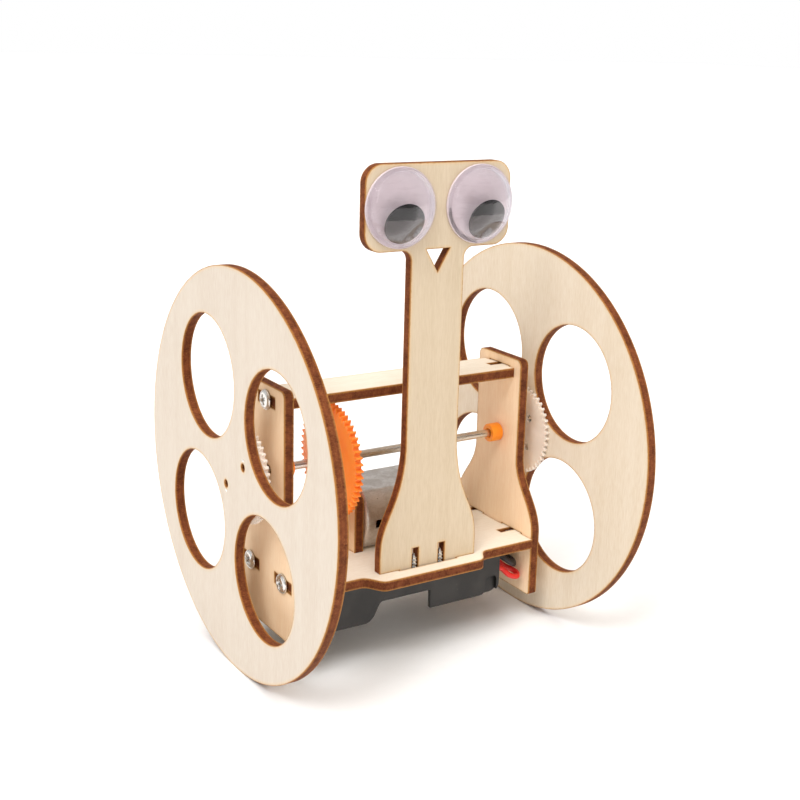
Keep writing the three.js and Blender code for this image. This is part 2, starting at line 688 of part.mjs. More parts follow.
function bracketShape() {
  const shape = new THREE.Shape();
  const cornerR = 1.2;
  const tabZ = BASE_Z + 0.2;
  shape.moveTo(MOTOR_Y - BRACKET_TAB_HALF, tabZ);
  shape.lineTo(MOTOR_Y + BRACKET_TAB_HALF, tabZ);
  shape.lineTo(MOTOR_Y + BRACKET_TAB_HALF, BASE_TOP_Z);
  shape.lineTo(MOTOR_Y + BRACKET_HALF, BASE_TOP_Z);
  shape.absarc(MOTOR_Y + BRACKET_HALF - cornerR, BRACKET_TOP_Z - cornerR, cornerR, 0, Math.PI / 2);
  shape.absarc(MOTOR_Y - BRACKET_HALF + cornerR, BRACKET_TOP_Z - cornerR, cornerR, Math.PI / 2, Math.PI);
  shape.lineTo(MOTOR_Y - BRACKET_HALF, BASE_TOP_Z);
  shape.lineTo(MOTOR_Y - BRACKET_TAB_HALF, BASE_TOP_Z);
  shape.holes.push(ring(MOTOR_Y, MOTOR_Z, BOSS_R + 0.05, 24));
  return shape;
}

add('motor_bracket', board(bracketShape(), 4), plywood(), [BRACKET_X, 0, 0], ALONG_X);

const canLength = MOTOR_CAN_BACK_X - MOTOR_FRONT_X;
const frontWall = 0.8;
const SHAFT_HOLE_R = AXLE_R + BEARING_GAP;

// Drawn steel cup with a bearing boss in front and one punched window low on each side.
function canGeometry() {
  const outside = solid(extrude(canShape(0), canLength, 10));
  const boss = solid(extrude(disc(BOSS_R, 24), BOSS_LENGTH + 0.4).translate(0, 0, -BOSS_LENGTH));
  const inside = solid(extrude(canShape(CAN_WALL), canLength, 10).translate(0, 0, frontWall));
  const hole = solid(extrude(disc(SHAFT_HOLE_R, SHAFT_FACETS), 6).translate(0, 0, -4));
  const windowStart = 2.6;
  const windows = solid(block(-MOTOR_R - 1, -1.4, windowStart, MOTOR_R + 1, 0.7, windowStart + 1.9));
  return geometryOf(outside.add(boss).subtract(inside).subtract(hole).subtract(windows));
}

add('motor_can', canGeometry(), galvanised(), [MOTOR_FRONT_X, MOTOR_Y, MOTOR_Z], ALONG_X);

const BELL_BOSS_R = 2.6;
const BELL_BOSS_LENGTH = 1.4;
const TERMINAL_REACH = 7.6; // each terminal's distance from the shaft

// Plastic end bell: it closes the can and carries the rear bearing and the two terminals.
function bellGeometry() {
  const length = MOTOR_BACK_X - MOTOR_CAN_BACK_X;
  const cap = solid(extrude(canShape(0), length, 10));
  const spigot = solid(extrude(canShape(CAN_WALL + 0.1), 1.6, 10).translate(0, 0, -1.5));
  const boss = solid(extrude(disc(BELL_BOSS_R, 20), BELL_BOSS_LENGTH + 0.4).translate(0, 0, length - 0.4));
  const well = solid(extrude(disc(6, 24), 4.9).translate(0, 0, -1.6));
  const hole = solid(extrude(disc(SHAFT_HOLE_R, SHAFT_FACETS), 8).translate(0, 0, 0));
  let bell = cap.add(spigot).add(boss).subtract(well).subtract(hole);
  for (const side of [-1, 1]) {
    const u = side * TERMINAL_REACH;
    bell = bell.subtract(solid(block(u - 0.3, -1.3, length - 2.1, u + 0.3, 1.3, length + 1)));
  }
  return geometryOf(bell);
}

add('motor_end_bell', bellGeometry(), whitePlastic(), [MOTOR_CAN_BACK_X, MOTOR_Y, MOTOR_Z], ALONG_X);

const TERMINAL_END_X = MOTOR_BACK_X + 3.6;
for (const [name, side] of [['front', -1], ['back', 1]]) {
  const y = MOTOR_Y + side * TERMINAL_REACH;
  const blade = rectangle(MOTOR_BACK_X - 2, -1.1, TERMINAL_END_X, 1.1);
  blade.holes.push(ring(TERMINAL_END_X - 1.3, 0, 0.6, 10));
  const place = [0, y + 0.2, MOTOR_Z];
  add(`motor_terminal_${name}`, extrude(blade, 0.4), brass(), place, ALONG_Y);
}

const MAGNET_OUTER_R = 9.4;
const MAGNET_INNER_R = 7.7;
const MAGNET_HALF_ANGLE = 40 * Math.PI / 180;
const MAGNET_START_X = -2.8;
const MAGNET_LENGTH = 12;
for (const [name, middle] of [['back', 0], ['front', Math.PI]]) {
  const shape = new THREE.Shape();
  const first = middle - MAGNET_HALF_ANGLE;
  const last = middle + MAGNET_HALF_ANGLE;
  shape.absarc(0, 0, MAGNET_OUTER_R, first, last);
  shape.absarc(0, 0, MAGNET_INNER_R, last, first, true);
  shape.closePath();
  const place = [MAGNET_START_X, MOTOR_Y, MOTOR_Z];
  add(`motor_magnet_${name}`, extrude(shape, MAGNET_LENGTH, 6), magnet(), place, ALONG_X);
}

const SHAFT_FRONT_X = PINION_FACE_X - 0.4;
const SHAFT_BACK_X = MOTOR_BACK_X + BELL_BOSS_LENGTH + 0.6;
const shaftRod = extrude(disc(AXLE_R, SHAFT_FACETS), SHAFT_BACK_X - SHAFT_FRONT_X);
add('motor_shaft', shaftRod, steel(), [SHAFT_FRONT_X, MOTOR_Y, MOTOR_Z], ALONG_X);

// Three-pole armature: each pole is a narrow neck under a wide curved shoe.
function armatureShape() {
  const shape = new THREE.Shape();
  const poleR = 7;
  const shoeHalf = 50 * Math.PI / 180;
  const shoeThick = 1.3;
  const neckHalf = 1.6;
  for (let pole = 0; pole < 3; pole++) {
    const middle = Math.PI / 2 + 2 * Math.PI * pole / 3;
    const local = (along, across) => [
      along * Math.cos(middle) - across * Math.sin(middle),
      along * Math.sin(middle) + across * Math.cos(middle),
    ];
    const inner = poleR - shoeThick;
    const corner = (side) => local(inner * Math.cos(shoeHalf), side * inner * Math.sin(shoeHalf));
    const rootPoint = local(neckHalf / Math.tan(Math.PI / 3) + 0.6, -neckHalf);
    if (pole === 0) shape.moveTo(...rootPoint);
    else shape.lineTo(...rootPoint);
    shape.lineTo(...local(inner * Math.cos(shoeHalf) + 1.4, -neckHalf));
    shape.lineTo(...corner(-1));
    shape.absarc(0, 0, poleR, middle - shoeHalf, middle + shoeHalf);
    shape.lineTo(...corner(1));
    shape.lineTo(...local(inner * Math.cos(shoeHalf) + 1.4, neckHalf));
    shape.lineTo(...local(neckHalf / Math.tan(Math.PI / 3) + 0.6, neckHalf));
  }
  shape.closePath();
  shape.holes.push(ring(0, 0, AXLE_R + PRESS_GAP, SHAFT_FACETS));
  return shape;
}

const ARMATURE_X = -1.4;
const armature = extrude(armatureShape(), 8.5, 6);
add('motor_armature', armature, copper(), [ARMATURE_X, MOTOR_Y, MOTOR_Z], ALONG_X);

const commutatorShape = disc(2.5, 18);
commutatorShape.holes.push(ring(0, 0, AXLE_R + PRESS_GAP, SHAFT_FACETS));
const commutatorPlace = [8, MOTOR_Y, MOTOR_Z];
add('motor_commutator', extrude(commutatorShape, 3.6), copper(), commutatorPlace, ALONG_X);

for (const [name, side] of [['front', -1], ['back', 1]]) {
  const nearY = MOTOR_Y + side * 2.65;
  const farY = MOTOR_Y + side * 2.95;
  const leaf = block(8.6, Math.min(nearY, farY), MOTOR_Z - 1, 14.2, Math.max(nearY, farY), MOTOR_Z + 1);
  add(`motor_brush_${name}`, leaf, copper(), [0, 0, 0]);
}

// ---------------------------------------------------------------- battery holder

const CELL_PITCH = 14.4;
const TROUGH_R = 7.1;
const END_WALL = 2;
const HOLDER_MID_Y = (HOLDER_FRONT_Y + HOLDER_BACK_Y) / 2;
const HOLDER_IN_LEFT_X = HOLDER_LEFT_X + END_WALL;
const HOLDER_IN_RIGHT_X = HOLDER_RIGHT_X - END_WALL;
const CELL_Z = HOLDER_TOP_Z - HOLDER_WALL - TROUGH_R;
const RIB_Z = 14; // the rib between the two troughs starts here
const BELOW_Z = HOLDER_BOTTOM_Z - 1;

const NOTCH_LEFT_X = -10.8;
const NOTCH_RIGHT_X = 4.3;
const NOTCH_TOP_Z = 14.9;
const NOTCH_FLARE = 3.4;

const POCKET_OUT_X = 0.8; // from the holder's end to the pocket beside it
const POCKET_W = 3.5;
const POCKET_DEEP = 0.9;
const POCKET_TOP_Z = 14.6;

// A trough for one cell, in (y, z): a half round with straight sides down to the mouth.
function troughShape(axisY) {
  const shape = new THREE.Shape();
  shape.absarc(axisY, CELL_Z, TROUGH_R, 0, Math.PI);
  shape.lineTo(axisY - TROUGH_R, BELOW_Z);
  shape.lineTo(axisY + TROUGH_R, BELOW_Z);
  shape.closePath();
  return shape;
}

// The finger notch in both long walls, in (x, z): an S-curve on the left, square on the right.
function notchShape() {
  const shape = new THREE.Shape();
  shape.moveTo(NOTCH_LEFT_X - NOTCH_FLARE, BELOW_Z);
  shape.lineTo(NOTCH_RIGHT_X, BELOW_Z);
  shape.lineTo(NOTCH_RIGHT_X, NOTCH_TOP_Z);
  shape.lineTo(NOTCH_LEFT_X + 1, NOTCH_TOP_Z);
  shape.bezierCurveTo(
    NOTCH_LEFT_X - 0.6,
    NOTCH_TOP_Z - 0.7,
    NOTCH_LEFT_X - 0.4,
    HOLDER_BOTTOM_Z + 0.6,
    NOTCH_LEFT_X - NOTCH_FLARE,
    HOLDER_BOTTOM_Z,
  );
  shape.closePath();
  return shape;
}

// Four shallow pockets in the long walls, one beside each corner.
function pocketBlocks() {
  const startsX = [HOLDER_LEFT_X + POCKET_OUT_X, HOLDER_RIGHT_X - POCKET_OUT_X - POCKET_W];
  const startsY = [HOLDER_FRONT_Y - 1, HOLDER_BACK_Y - POCKET_DEEP];
  return startsX.flatMap((x) => startsY.map((y) => {
    return block(x, y, BELOW_Z, x + POCKET_W, y + POCKET_DEEP + 1, POCKET_TOP_Z);
  }));
}

// Open tray for two cells side by side, mouth down.
function holderGeometry() {
  const uprightYZ = new THREE.Matrix4().makeBasis(
    new THREE.Vector3(0, 1, 0),
    new THREE.Vector3(0, 0, 1),
    new THREE.Vector3(1, 0, 0),
  );
  const innerLength = HOLDER_IN_RIGHT_X - HOLDER_IN_LEFT_X;
  const cutters = [-1, 1].map((side) => {
    const trough = extrude(troughShape(HOLDER_MID_Y + side * CELL_PITCH / 2), innerLength, 10);
    return trough.applyMatrix4(uprightYZ).translate(HOLDER_IN_LEFT_X, 0, 0);
  });
  cutters.push(block(
    HOLDER_IN_LEFT_X,
    HOLDER_FRONT_Y + HOLDER_WALL,
    BELOW_Z,
    HOLDER_IN_RIGHT_X,
    HOLDER_BACK_Y - HOLDER_WALL,
    RIB_Z,
  ));
  const notch = extrude(notchShape(), HOLDER_BACK_Y - HOLDER_FRONT_Y + 2, 8);
  cutters.push(notch.rotateX(Math.PI / 2).translate(0, HOLDER_BACK_Y + 1, 0));
  cutters.push(...pocketBlocks());
  const outside = solid(block(
    HOLDER_LEFT_X,
    HOLDER_FRONT_Y,
    HOLDER_BOTTOM_Z,
    HOLDER_RIGHT_X,
    HOLDER_BACK_Y,
    HOLDER_TOP_Z,
  ));
  return geometryOf(cutters.map(solid).reduce((tray, cutter) => tray.subtract(cutter), outside));
}

add('battery_holder', holderGeometry(), blackPlastic(), [0, 0, 0]);

const pad = block(-26, -9, HOLDER_TOP_Z, 20, 14, BASE_Z);
add('holder_tape', pad, foam(), [0, 0, 0]);

// ---------------------------------------------------------------- battery contacts

const CONTACT_THICK = 0.4;
const CONTACT_HALF_W = 4.6;
const CONTACT_BOTTOM_Z = 10.6;
const CONTACT_TOP_Z = 17.4;
const FRONT_CELL_Y = HOLDER_MID_Y - CELL_PITCH / 2;
const BACK_CELL_Y = HOLDER_MID_Y + CELL_PITCH / 2;

function contactPlate(startX, y0, y1) {
  return block(startX, y0, CONTACT_BOTTOM_Z, startX + CONTACT_THICK, y1, CONTACT_TOP_Z);
}

// A tapering coil that stands on a contact plate and reaches along X.
function coil(startX, direction, cellY) {
  const turns = 3;
  const length = 5;
  const points = [];
  for (let i = 0; i <= turns * 8; i++) {
    const part = i / (turns * 8);
    const angle = 2 * Math.PI * turns * part;
    const radius = 3.4 - 1.3 * part;
    points.push([
      startX + direction * (0.5 + length * part),
      cellY + radius * Math.cos(angle),
      CELL_Z + 1 + radius * Math.sin(angle),
    ]);
  }
  return wire(points, 0.35, 5, turns * 12);
}

const leftPlateX = HOLDER_IN_LEFT_X + 0.1;
const rightPlateX = HOLDER_IN_RIGHT_X - 0.1 - CONTACT_THICK;
const bridgeY0 = FRONT_CELL_Y - CONTACT_HALF_W;
const bridgeY1 = BACK_CELL_Y + CONTACT_HALF_W;

function bridgeGeometry() {
  const farX = leftPlateX + CONTACT_THICK;
  const lower = block(leftPlateX, bridgeY0, CONTACT_BOTTOM_Z, farX, bridgeY1, RIB_Z - 0.3);
  const ends = [FRONT_CELL_Y, BACK_CELL_Y].map((y) => {
    return contactPlate(leftPlateX, y - CONTACT_HALF_W, y + CONTACT_HALF_W);
  });
  return geometryOf(joined(lower, ...ends));
}

function endPlate(cellY) {
  return contactPlate(rightPlateX, cellY - CONTACT_HALF_W, cellY + CONTACT_HALF_W);
}

add('bridge_contact', bridgeGeometry(), steel(), [0, 0, 0]);
add('positive_contact', endPlate(FRONT_CELL_Y), steel(), [0, 0, 0]);
add('negative_contact', endPlate(BACK_CELL_Y), steel(), [0, 0, 0]);
add('bridge_spring', coil(leftPlateX + CONTACT_THICK, 1, FRONT_CELL_Y), steel(), [0, 0, 0]);
add('negative_spring', coil(rightPlateX, -1, BACK_CELL_Y), steel(), [0, 0, 0]);

// ---------------------------------------------------------------- wires

const WIRE_R = 0.7;
const WIRE_START_X = HOLDER_RIGHT_X + 0.3;
const WIRE_END_X = TERMINAL_END_X + 0.4;
const WIRE_STEPS = 56;

// Both wires leave the holder's right end, pass under the base and climb behind it. The red one
// doubles back on itself in a flat loop beside the holder's front corner first.
const redRoute = [
  [WIRE_START_X, -11.8, 16.1],
  [26.8, -12.3, 15.6],
  [27.5, -13.2, 14.6],
  [29, -13.7, 13.7],
  [30.8, -13.3, 13.2],
  [31.6, -12, 13.5],
  [31.1, -10.6, 14],
  [29.4, -9.7, 14.9],
  [28, -8.6, 16.3],
  [27.8, -5, 18.3],
  [28.6, 2, 18.8],
  [28.8, 10, 18],
  [28.4, 17.2, 17.4],
  [27.4, 20.2, 19.4],
  [26.6, 20.5, 23.6],
  [24.6, 18.8, 28.2],
  [22, 15.6, 31],
  [WIRE_END_X, MOTOR_Y + TERMINAL_REACH, MOTOR_Z],
];
const blackRoute = [
  [WIRE_START_X, -9.4, 18.4],
  [26.8, -10, 18.5],
  [27.9, -10.9, 18],
  [28.9, -11.8, 17.2],
  [30.6, -11.7, 16],
  [31.6, -10, 16.2],
  [31.4, -6, 16.6],
  [31, 0, 15.6],
  [30.2, 8, 14.2],
  [29.2, 15.4, 13.4],
  [29.8, 19.6, 16],
  [30, 20.6, 21.4],
  [29, 17.6, 26.4],
  [27, 9, 28.4],
  [24.6, 2.6, 30.2],
  [22, -1, 31.4],
  [WIRE_END_X, MOTOR_Y - TERMINAL_REACH, MOTOR_Z],
];
add('red_wire', wire(redRoute, WIRE_R, 6, WIRE_STEPS), redVinyl(), [0, 0, 0]);
add('black_wire', wire(blackRoute, WIRE_R, 6, WIRE_STEPS), blackVinyl(), [0, 0, 0]);

export default car;
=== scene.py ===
"""Two-wheel balancing robot car: fine surfaces, materials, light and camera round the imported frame.

Lengths are in millimetres until a mesh is written, which is in metres. X runs along the axle,
the face looks along -Y and Z is up. Outlines and places are read from the frame's own nodes.
"""

import json
import math

import bpy
import numpy as np
from mathutils import Matrix, Vector, geometry


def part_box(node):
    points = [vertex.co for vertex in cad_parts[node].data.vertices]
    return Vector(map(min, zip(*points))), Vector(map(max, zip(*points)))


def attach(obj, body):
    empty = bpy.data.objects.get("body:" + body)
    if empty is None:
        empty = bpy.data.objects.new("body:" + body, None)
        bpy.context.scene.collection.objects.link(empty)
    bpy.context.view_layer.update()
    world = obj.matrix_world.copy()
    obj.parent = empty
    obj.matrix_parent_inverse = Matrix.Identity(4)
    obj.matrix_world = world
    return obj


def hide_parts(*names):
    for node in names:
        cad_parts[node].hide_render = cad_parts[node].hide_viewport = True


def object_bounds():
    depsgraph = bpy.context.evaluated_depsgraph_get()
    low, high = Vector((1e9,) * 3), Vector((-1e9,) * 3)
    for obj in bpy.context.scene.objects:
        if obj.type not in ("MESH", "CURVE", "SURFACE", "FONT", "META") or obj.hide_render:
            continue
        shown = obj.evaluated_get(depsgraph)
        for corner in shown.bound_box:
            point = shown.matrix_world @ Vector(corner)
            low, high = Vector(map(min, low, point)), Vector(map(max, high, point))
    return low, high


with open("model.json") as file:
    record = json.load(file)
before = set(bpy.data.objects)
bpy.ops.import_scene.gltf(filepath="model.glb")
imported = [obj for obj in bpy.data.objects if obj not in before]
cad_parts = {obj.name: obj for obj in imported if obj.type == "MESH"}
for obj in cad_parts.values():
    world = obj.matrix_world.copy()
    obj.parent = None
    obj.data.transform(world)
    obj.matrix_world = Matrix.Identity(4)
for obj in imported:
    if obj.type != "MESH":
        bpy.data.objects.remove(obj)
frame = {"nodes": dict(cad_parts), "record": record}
cad_low, cad_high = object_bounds()

MM = 0.001
X, Y, Z = 0, 1, 2
SLOT_OF = {part["node"]: part["material_slot"] for part in frame["record"]["subparts"]}
BODY_OF = {node: body for body, nodes in frame["record"]["behaviour"]["bodies"].items() for node in nodes}


def low(node):
    return np.array(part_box(node)[0]) / MM


def high(node):
    return np.array(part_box(node)[1]) / MM


def middle(node):
    return (low(node) + high(node)) / 2


# ---------------------------------------------------------------- shader building

class Nodes:
    """The nodes of one tree, emptied first; an input takes a number, a colour or another node's output."""

    def __init__(self, tree, output):
        self.tree = tree
        tree.nodes.clear()
        self.output = self.add(output)

    def set(self, node, socket, value):
        target = node.inputs[socket]
        if isinstance(value, bpy.types.NodeSocket):
            self.tree.links.new(value, target)
        elif isinstance(value, tuple) and target.type == "RGBA":
            target.default_value = (*value, 1)
        else:
            target.default_value = value

    def add(self, kind, settings=None, **inputs):
        node = self.tree.nodes.new("ShaderNode" + kind)
        for key, value in (settings or {}).items():
            setattr(node, key, value)
        for key, value in inputs.items():
            self.set(node, key.replace("_", " "), value)
        return node

    def math(self, operation, a, b=0.0):
        node = self.add("Math", {"operation": operation})
        for index, value in enumerate((a, b)):
            self.set(node, index, value)
        return node.outputs[0]

    def span(self, value, first, last, out_first=0.0, out_last=1.0):
        """value between first and last, carried over to the output range."""
        node = self.add("MapRange", {"interpolation_type": "SMOOTHSTEP"})
        for index, number in enumerate((value, first, last, out_first, out_last)):
            self.set(node, index, number)
        return node.outputs[0]

    def mix(self, factor, a, b):
        """Colour a turned into colour b, by factor."""
        node = self.add("Mix", {"data_type": "RGBA"})
        for index, value in ((0, factor), (6, a), (7, b)):
            self.set(node, index, value)
        return node.outputs[2]

    def layered(self, factor, under, over):
        """One shader over another, by factor."""
        node = self.add("MixShader", Fac=factor)
        self.tree.links.new(under.outputs[0], node.inputs[1])
        self.tree.links.new(over.outputs[0], node.inputs[2])
        return node

    def show(self, shader):
        """Sends a shader to the tree's output."""
        self.tree.links.new(shader.outputs[0], self.output.inputs["Surface"])


class Look(Nodes):
    """A node material, built from the principled shader outwards."""

    def __init__(self, name, roughness=0.5, metallic=0.0, **inputs):
        self.material = bpy.data.materials.new(name)
        self.material.use_nodes = True
        super().__init__(self.material.node_tree, "OutputMaterial")
        self.shader = self.add("BsdfPrincipled", Roughness=roughness, Metallic=metallic, **inputs)
        self.show(self.shader)
        self.coords = None

    def mm(self, stretch=(1, 1, 1), shift=(0, 0, 0)):
        """The piece's own coordinates in millimetres, stretched and shifted."""
        if self.coords is None:
            self.coords = self.add("TexCoord").outputs["Object"]
        scale = tuple(s / MM for s in stretch)
        node = self.add("Mapping", Vector=self.coords, Scale=scale, Location=shift)
        return node.outputs[0]

    def noise(self, vector, scale=1.0, detail=3.0, rough=0.5, distortion=0.0):
        node = self.add("TexNoise", Vector=vector, Scale=scale, Detail=detail, Roughness=rough,
                        Distortion=distortion)
        return node.outputs["Fac"]

    def attribute(self, name):
        return self.add("Attribute", {"attribute_name": name}).outputs["Fac"]

    def bump(self, height, distance, strength=1.0):
        """Raises the surface by height times distance, in millimetres."""
        node = self.add("Bump", Height=height, Distance=distance * MM, Strength=strength)
        self.set(self.shader, "Normal", node.outputs[0])

    def colour(self, value):
        self.set(self.shader, "Base Color", value)

    def roughness(self, value):
        self.set(self.shader, "Roughness", value)


def linear(red, green, blue):
    """A display colour, 0 to 255, as linear light."""
    def channel(value):
        value = value / 255
        return value / 12.92 if value <= 0.04045 else ((value + 0.055) / 1.055) ** 2.4
    return tuple(channel(value) for value in (red, green, blue))


# ---------------------------------------------------------------- wood

SCORCH = linear(158, 104, 52)
GOLD = linear(222, 184, 126)
BURNT = linear(130, 71, 41)
CHAR = linear(84, 42, 24)
FRINGE = linear(186, 132, 70)


def drawn_out(grain, share):
    """A stretch that draws a pattern out along the grain, to its length divided by share."""
    return tuple(share if axis == grain else 1.0 for axis in (X, Y, Z))


def wood_face(name, seed, grain, pale, dark):
    """Bare basswood with its grain along one axis, browned next to the laser's cut."""
    pale, dark = linear(*pale), linear(*dark)
    look = Look(name, Specular_IOR_Level=0.25)
    fine = look.noise(look.mm(drawn_out(grain, 0.09), (seed, 3.1 * seed, 7.7 * seed)), 3.6, 5, 0.66)
    bands = look.noise(look.mm(drawn_out(grain, 0.02), (5.3 * seed, seed, 2.9 * seed)), 0.30, 3, 0.55, 0.4)
    flecks = look.noise(look.mm(drawn_out(grain, 0.14), (1.7 * seed, 9.1 * seed, seed)), 3.0, 2, 0.5)
    cloud = look.noise(look.mm((1, 1, 1), (seed, seed, seed)), 0.045, 3, 0.5)
    tone = look.math("ADD", look.math("MULTIPLY", fine, 0.72), look.math("MULTIPLY", bands, 0.28))
    base = look.mix(look.span(tone, 0.34, 0.68), pale, dark)
    base = look.mix(look.span(flecks, 0.66, 0.78, 0, 0.22), base, tuple(0.74 * c for c in dark))
    base = look.mix(look.span(cloud, 0.35, 0.7, 0, 0.25), base, tuple(1.03 * c for c in pale))
    edge = look.attribute("edge")
    ragged = look.noise(look.mm(), 1.6, 3, 0.6)
    reach = look.math("SUBTRACT", edge, look.math("MULTIPLY", ragged, 0.34))
    base = look.mix(look.span(reach, -0.05, 0.75, 0.45, 0), base, GOLD)
    base = look.mix(look.span(reach, -0.16, 0.15, 0.9, 0), base, SCORCH)
    look.colour(base)
    look.roughness(look.span(tone, 0.3, 0.7, 0.58, 0.76))
    look.bump(tone, 0.035, 0.6)
    return look.material


def wood_cut(name, seed):
    """The laser's brown cut: three plies, a striation for each pulse and a paler fringe at each face."""
    look = Look(name, Specular_IOR_Level=0.12)
    uv = look.add("UVMap", {"uv_map": "cut"}).outputs[0]
    split = look.add("SeparateXYZ", Vector=uv)
    run, across = split.outputs[0], split.outputs[1]

    def along(scale_run, scale_across, detail=2.0):
        place = look.add("CombineXYZ", X=look.math("MULTIPLY", run, scale_run),
                         Y=look.math("MULTIPLY", across, scale_across), Z=float(seed))
        return look.noise(place.outputs[0], 1.0, detail, 0.6)

    pulses = along(8.0, 1.6)
    patches = along(0.5, 1.0)
    grit = look.noise(look.mm((1, 1, 1), (seed, 0, 0)), 7.0, 3, 0.65)
    from_face = look.math("MINIMUM", across, look.math("SUBTRACT", 1.0, across))
    tone = look.math("ADD", look.math("MULTIPLY", pulses, 0.3), look.math("MULTIPLY", patches, 0.35))
    tone = look.math("ADD", tone, look.math("MULTIPLY", grit, 0.35))
    base = look.mix(look.span(tone, 0.41, 0.59), CHAR, BURNT)
    base = look.mix(look.span(grit, 0.57, 0.70, 0, 0.55), base, FRINGE)
    glue = look.math("ABSOLUTE", look.math("SUBTRACT", from_face, 0.3))
    base = look.mix(look.span(glue, 0.0, 0.05, 0.4, 0), base, CHAR)
    ragged = look.math("SUBTRACT", from_face, look.math("MULTIPLY", pulses, 0.26))
    base = look.mix(look.span(ragged, -0.12, 0.08, 0.75, 0), base, FRINGE)
    look.colour(base)
    look.roughness(look.span(tone, 0.3, 0.7, 0.78, 0.62))
    look.bump(look.math("ADD", tone, look.math("MULTIPLY", pulses, 0.6)), 0.05, 0.8)
    return look.material


# ---------------------------------------------------------------- metals

def brushed(name, colour, grain, rough=(0.18, 0.36), wear=0.25):
    """Drawn or rolled metal, with fine lines along one axis and a little tarnish."""
    look = Look(name, metallic=1.0)
    lines = look.noise(look.mm(drawn_out(grain, 0.03)), 9, 3, 0.6)
    tarnish = look.noise(look.mm(), 0.7, 4, 0.6)
    dull = tuple(0.55 * c for c in colour)
    look.colour(look.mix(look.span(tarnish, 0.48, 0.75, 0, wear), colour, dull))
    look.roughness(look.span(lines, 0.3, 0.7, *rough))
    look.bump(lines, 0.006)
    return look.material


def plated(name, colour):
    """Nickel plating, with painted shade where the metal turns inwards."""
    look = Look(name, metallic=1.0)
    # Painted shade: ambient occlusion turns the plating nearly black in the cross recess and other hollows.
    recess_shade = look.add("AmbientOcclusion", Distance=0.7 * MM).outputs["AO"]
    grit = look.noise(look.mm(), 6, 3, 0.6)
    shade = tuple(0.10 * c for c in colour)
    look.colour(look.mix(look.span(recess_shade, 0.30, 0.85), shade, colour))
    look.roughness(look.span(grit, 0.35, 0.7, 0.14, 0.32))
    look.bump(grit, 0.008)
    return look.material


def galvanised(name):
    """Drawn steel can: cloudy grey zinc with handling marks and a few dark specks."""
    look = Look(name, metallic=0.9)
    cloud = look.noise(look.mm(), 0.32, 5, 0.62, 0.5)
    fine = look.noise(look.mm((0.35, 1, 1)), 4.5, 4, 0.65)
    base = look.mix(look.span(cloud, 0.35, 0.65), linear(192, 184, 176), linear(216, 211, 206))
    base = look.mix(look.span(fine, 0.45, 0.72, 0, 0.25), base, linear(150, 134, 124))
    specks = look.add("TexVoronoi", Vector=look.mm(), Scale=0.55).outputs["Distance"]
    spots = look.math("MULTIPLY", look.span(specks, 0.04, 0.10, 1, 0), look.span(cloud, 0.45, 0.6))
    base = look.mix(look.math("MULTIPLY", spots, 0.7), base, linear(52, 44, 40))
    look.colour(base)
    look.roughness(look.span(fine, 0.3, 0.7, 0.34, 0.52))
    look.bump(fine, 0.02)
    return look.material


def wound(name):
    """Enamelled winding wire round a laminated core."""
    look = Look(name, metallic=0.7)
    turns = look.add("TexWave", {"bands_direction": "X"}, Vector=look.mm(), Scale=0.9,
                     Distortion=0.6).outputs["Fac"]
    look.colour(look.mix(turns, linear(120, 52, 26), linear(206, 118, 66)))
    look.roughness(look.span(turns, 0, 1, 0.5, 0.28))
    look.bump(turns, 0.12)
    return look.material


# ---------------------------------------------------------------- plastics and the rest

def moulded(name, pale, deep, rough=(0.3, 0.5), grain=0.012, **inputs):
    """Injection-moulded plastic: a slow drift of colour, a fine skin and a few rub marks."""
    pale, deep = linear(*pale), linear(*deep)
    look = Look(name, **inputs)
    drift = look.noise(look.mm(), 0.16, 3, 0.55)
    skin = look.noise(look.mm(), 11, 3, 0.6)
    rubs = look.noise(look.mm((0.25, 1, 1)), 1.1, 5, 0.7)
    base = look.mix(look.span(drift, 0.35, 0.65), pale, deep)
    rubbed = tuple(min(1, 1.12 * c + 0.01) for c in pale)
    base = look.mix(look.span(rubs, 0.60, 0.72, 0, 0.25), base, rubbed)
    look.colour(base)
    look.roughness(look.span(rubs, 0.35, 0.68, *rough))
    look.bump(skin, grain)
    return look.material


def dusty_black(name):
    """Satin black holder plastic with moulding grain, pale dust and painted shade in its recesses."""
    look = Look(name, Specular_IOR_Level=0.45)
    skin = look.noise(look.mm(), 5, 4, 0.65)
    drift = look.noise(look.mm(), 0.12, 3, 0.5)
    base = look.mix(look.span(drift, 0.35, 0.65), linear(50, 47, 45), linear(38, 36, 34))
    dust = look.add("TexVoronoi", Vector=look.mm(), Scale=0.42).outputs["Distance"]
    base = look.mix(look.span(dust, 0.02, 0.06, 0.5, 0), base, linear(150, 142, 136))
    # Painted shade: ambient occlusion darkens the colour towards near black in the pockets and recesses.
    recess_shade = look.add("AmbientOcclusion", Distance=2.0 * MM).outputs["AO"]
    base = look.mix(look.span(recess_shade, 0.55, 0.97), linear(16, 15, 14), base)
    look.colour(base)
    look.roughness(look.span(skin, 0.3, 0.7, 0.42, 0.6))
    look.bump(skin, 0.02)
    return look.material


def clear_dome(name):
    """Thin clear plastic: it shows what is behind it, with a milky veil and a gloss on top."""
    look = Look(name)
    haze = look.noise(look.mm(), 0.5, 3, 0.5)
    clear = look.add("BsdfTransparent", Color=(0.985, 0.98, 0.99))
    veil = look.add("BsdfDiffuse", Color=linear(234, 232, 243))
    gloss = look.add("BsdfGlossy", Color=(1.0, 1.0, 1.0), Roughness=look.span(haze, 0.3, 0.7, 0.02, 0.05))
    facing = look.add("LayerWeight", Blend=0.5).outputs["Facing"]
    milky = look.math("ADD", look.span(facing, 0.45, 0.95, 0.0, 0.60), look.span(haze, 0.3, 0.7, 0, 0.01))
    mirror = look.math("MINIMUM", look.add("Fresnel", IOR=1.33).outputs[0], 0.12)
    shell = look.layered(mirror, look.layered(milky, clear, veil), gloss)
    look.show(shell)
    return look.material


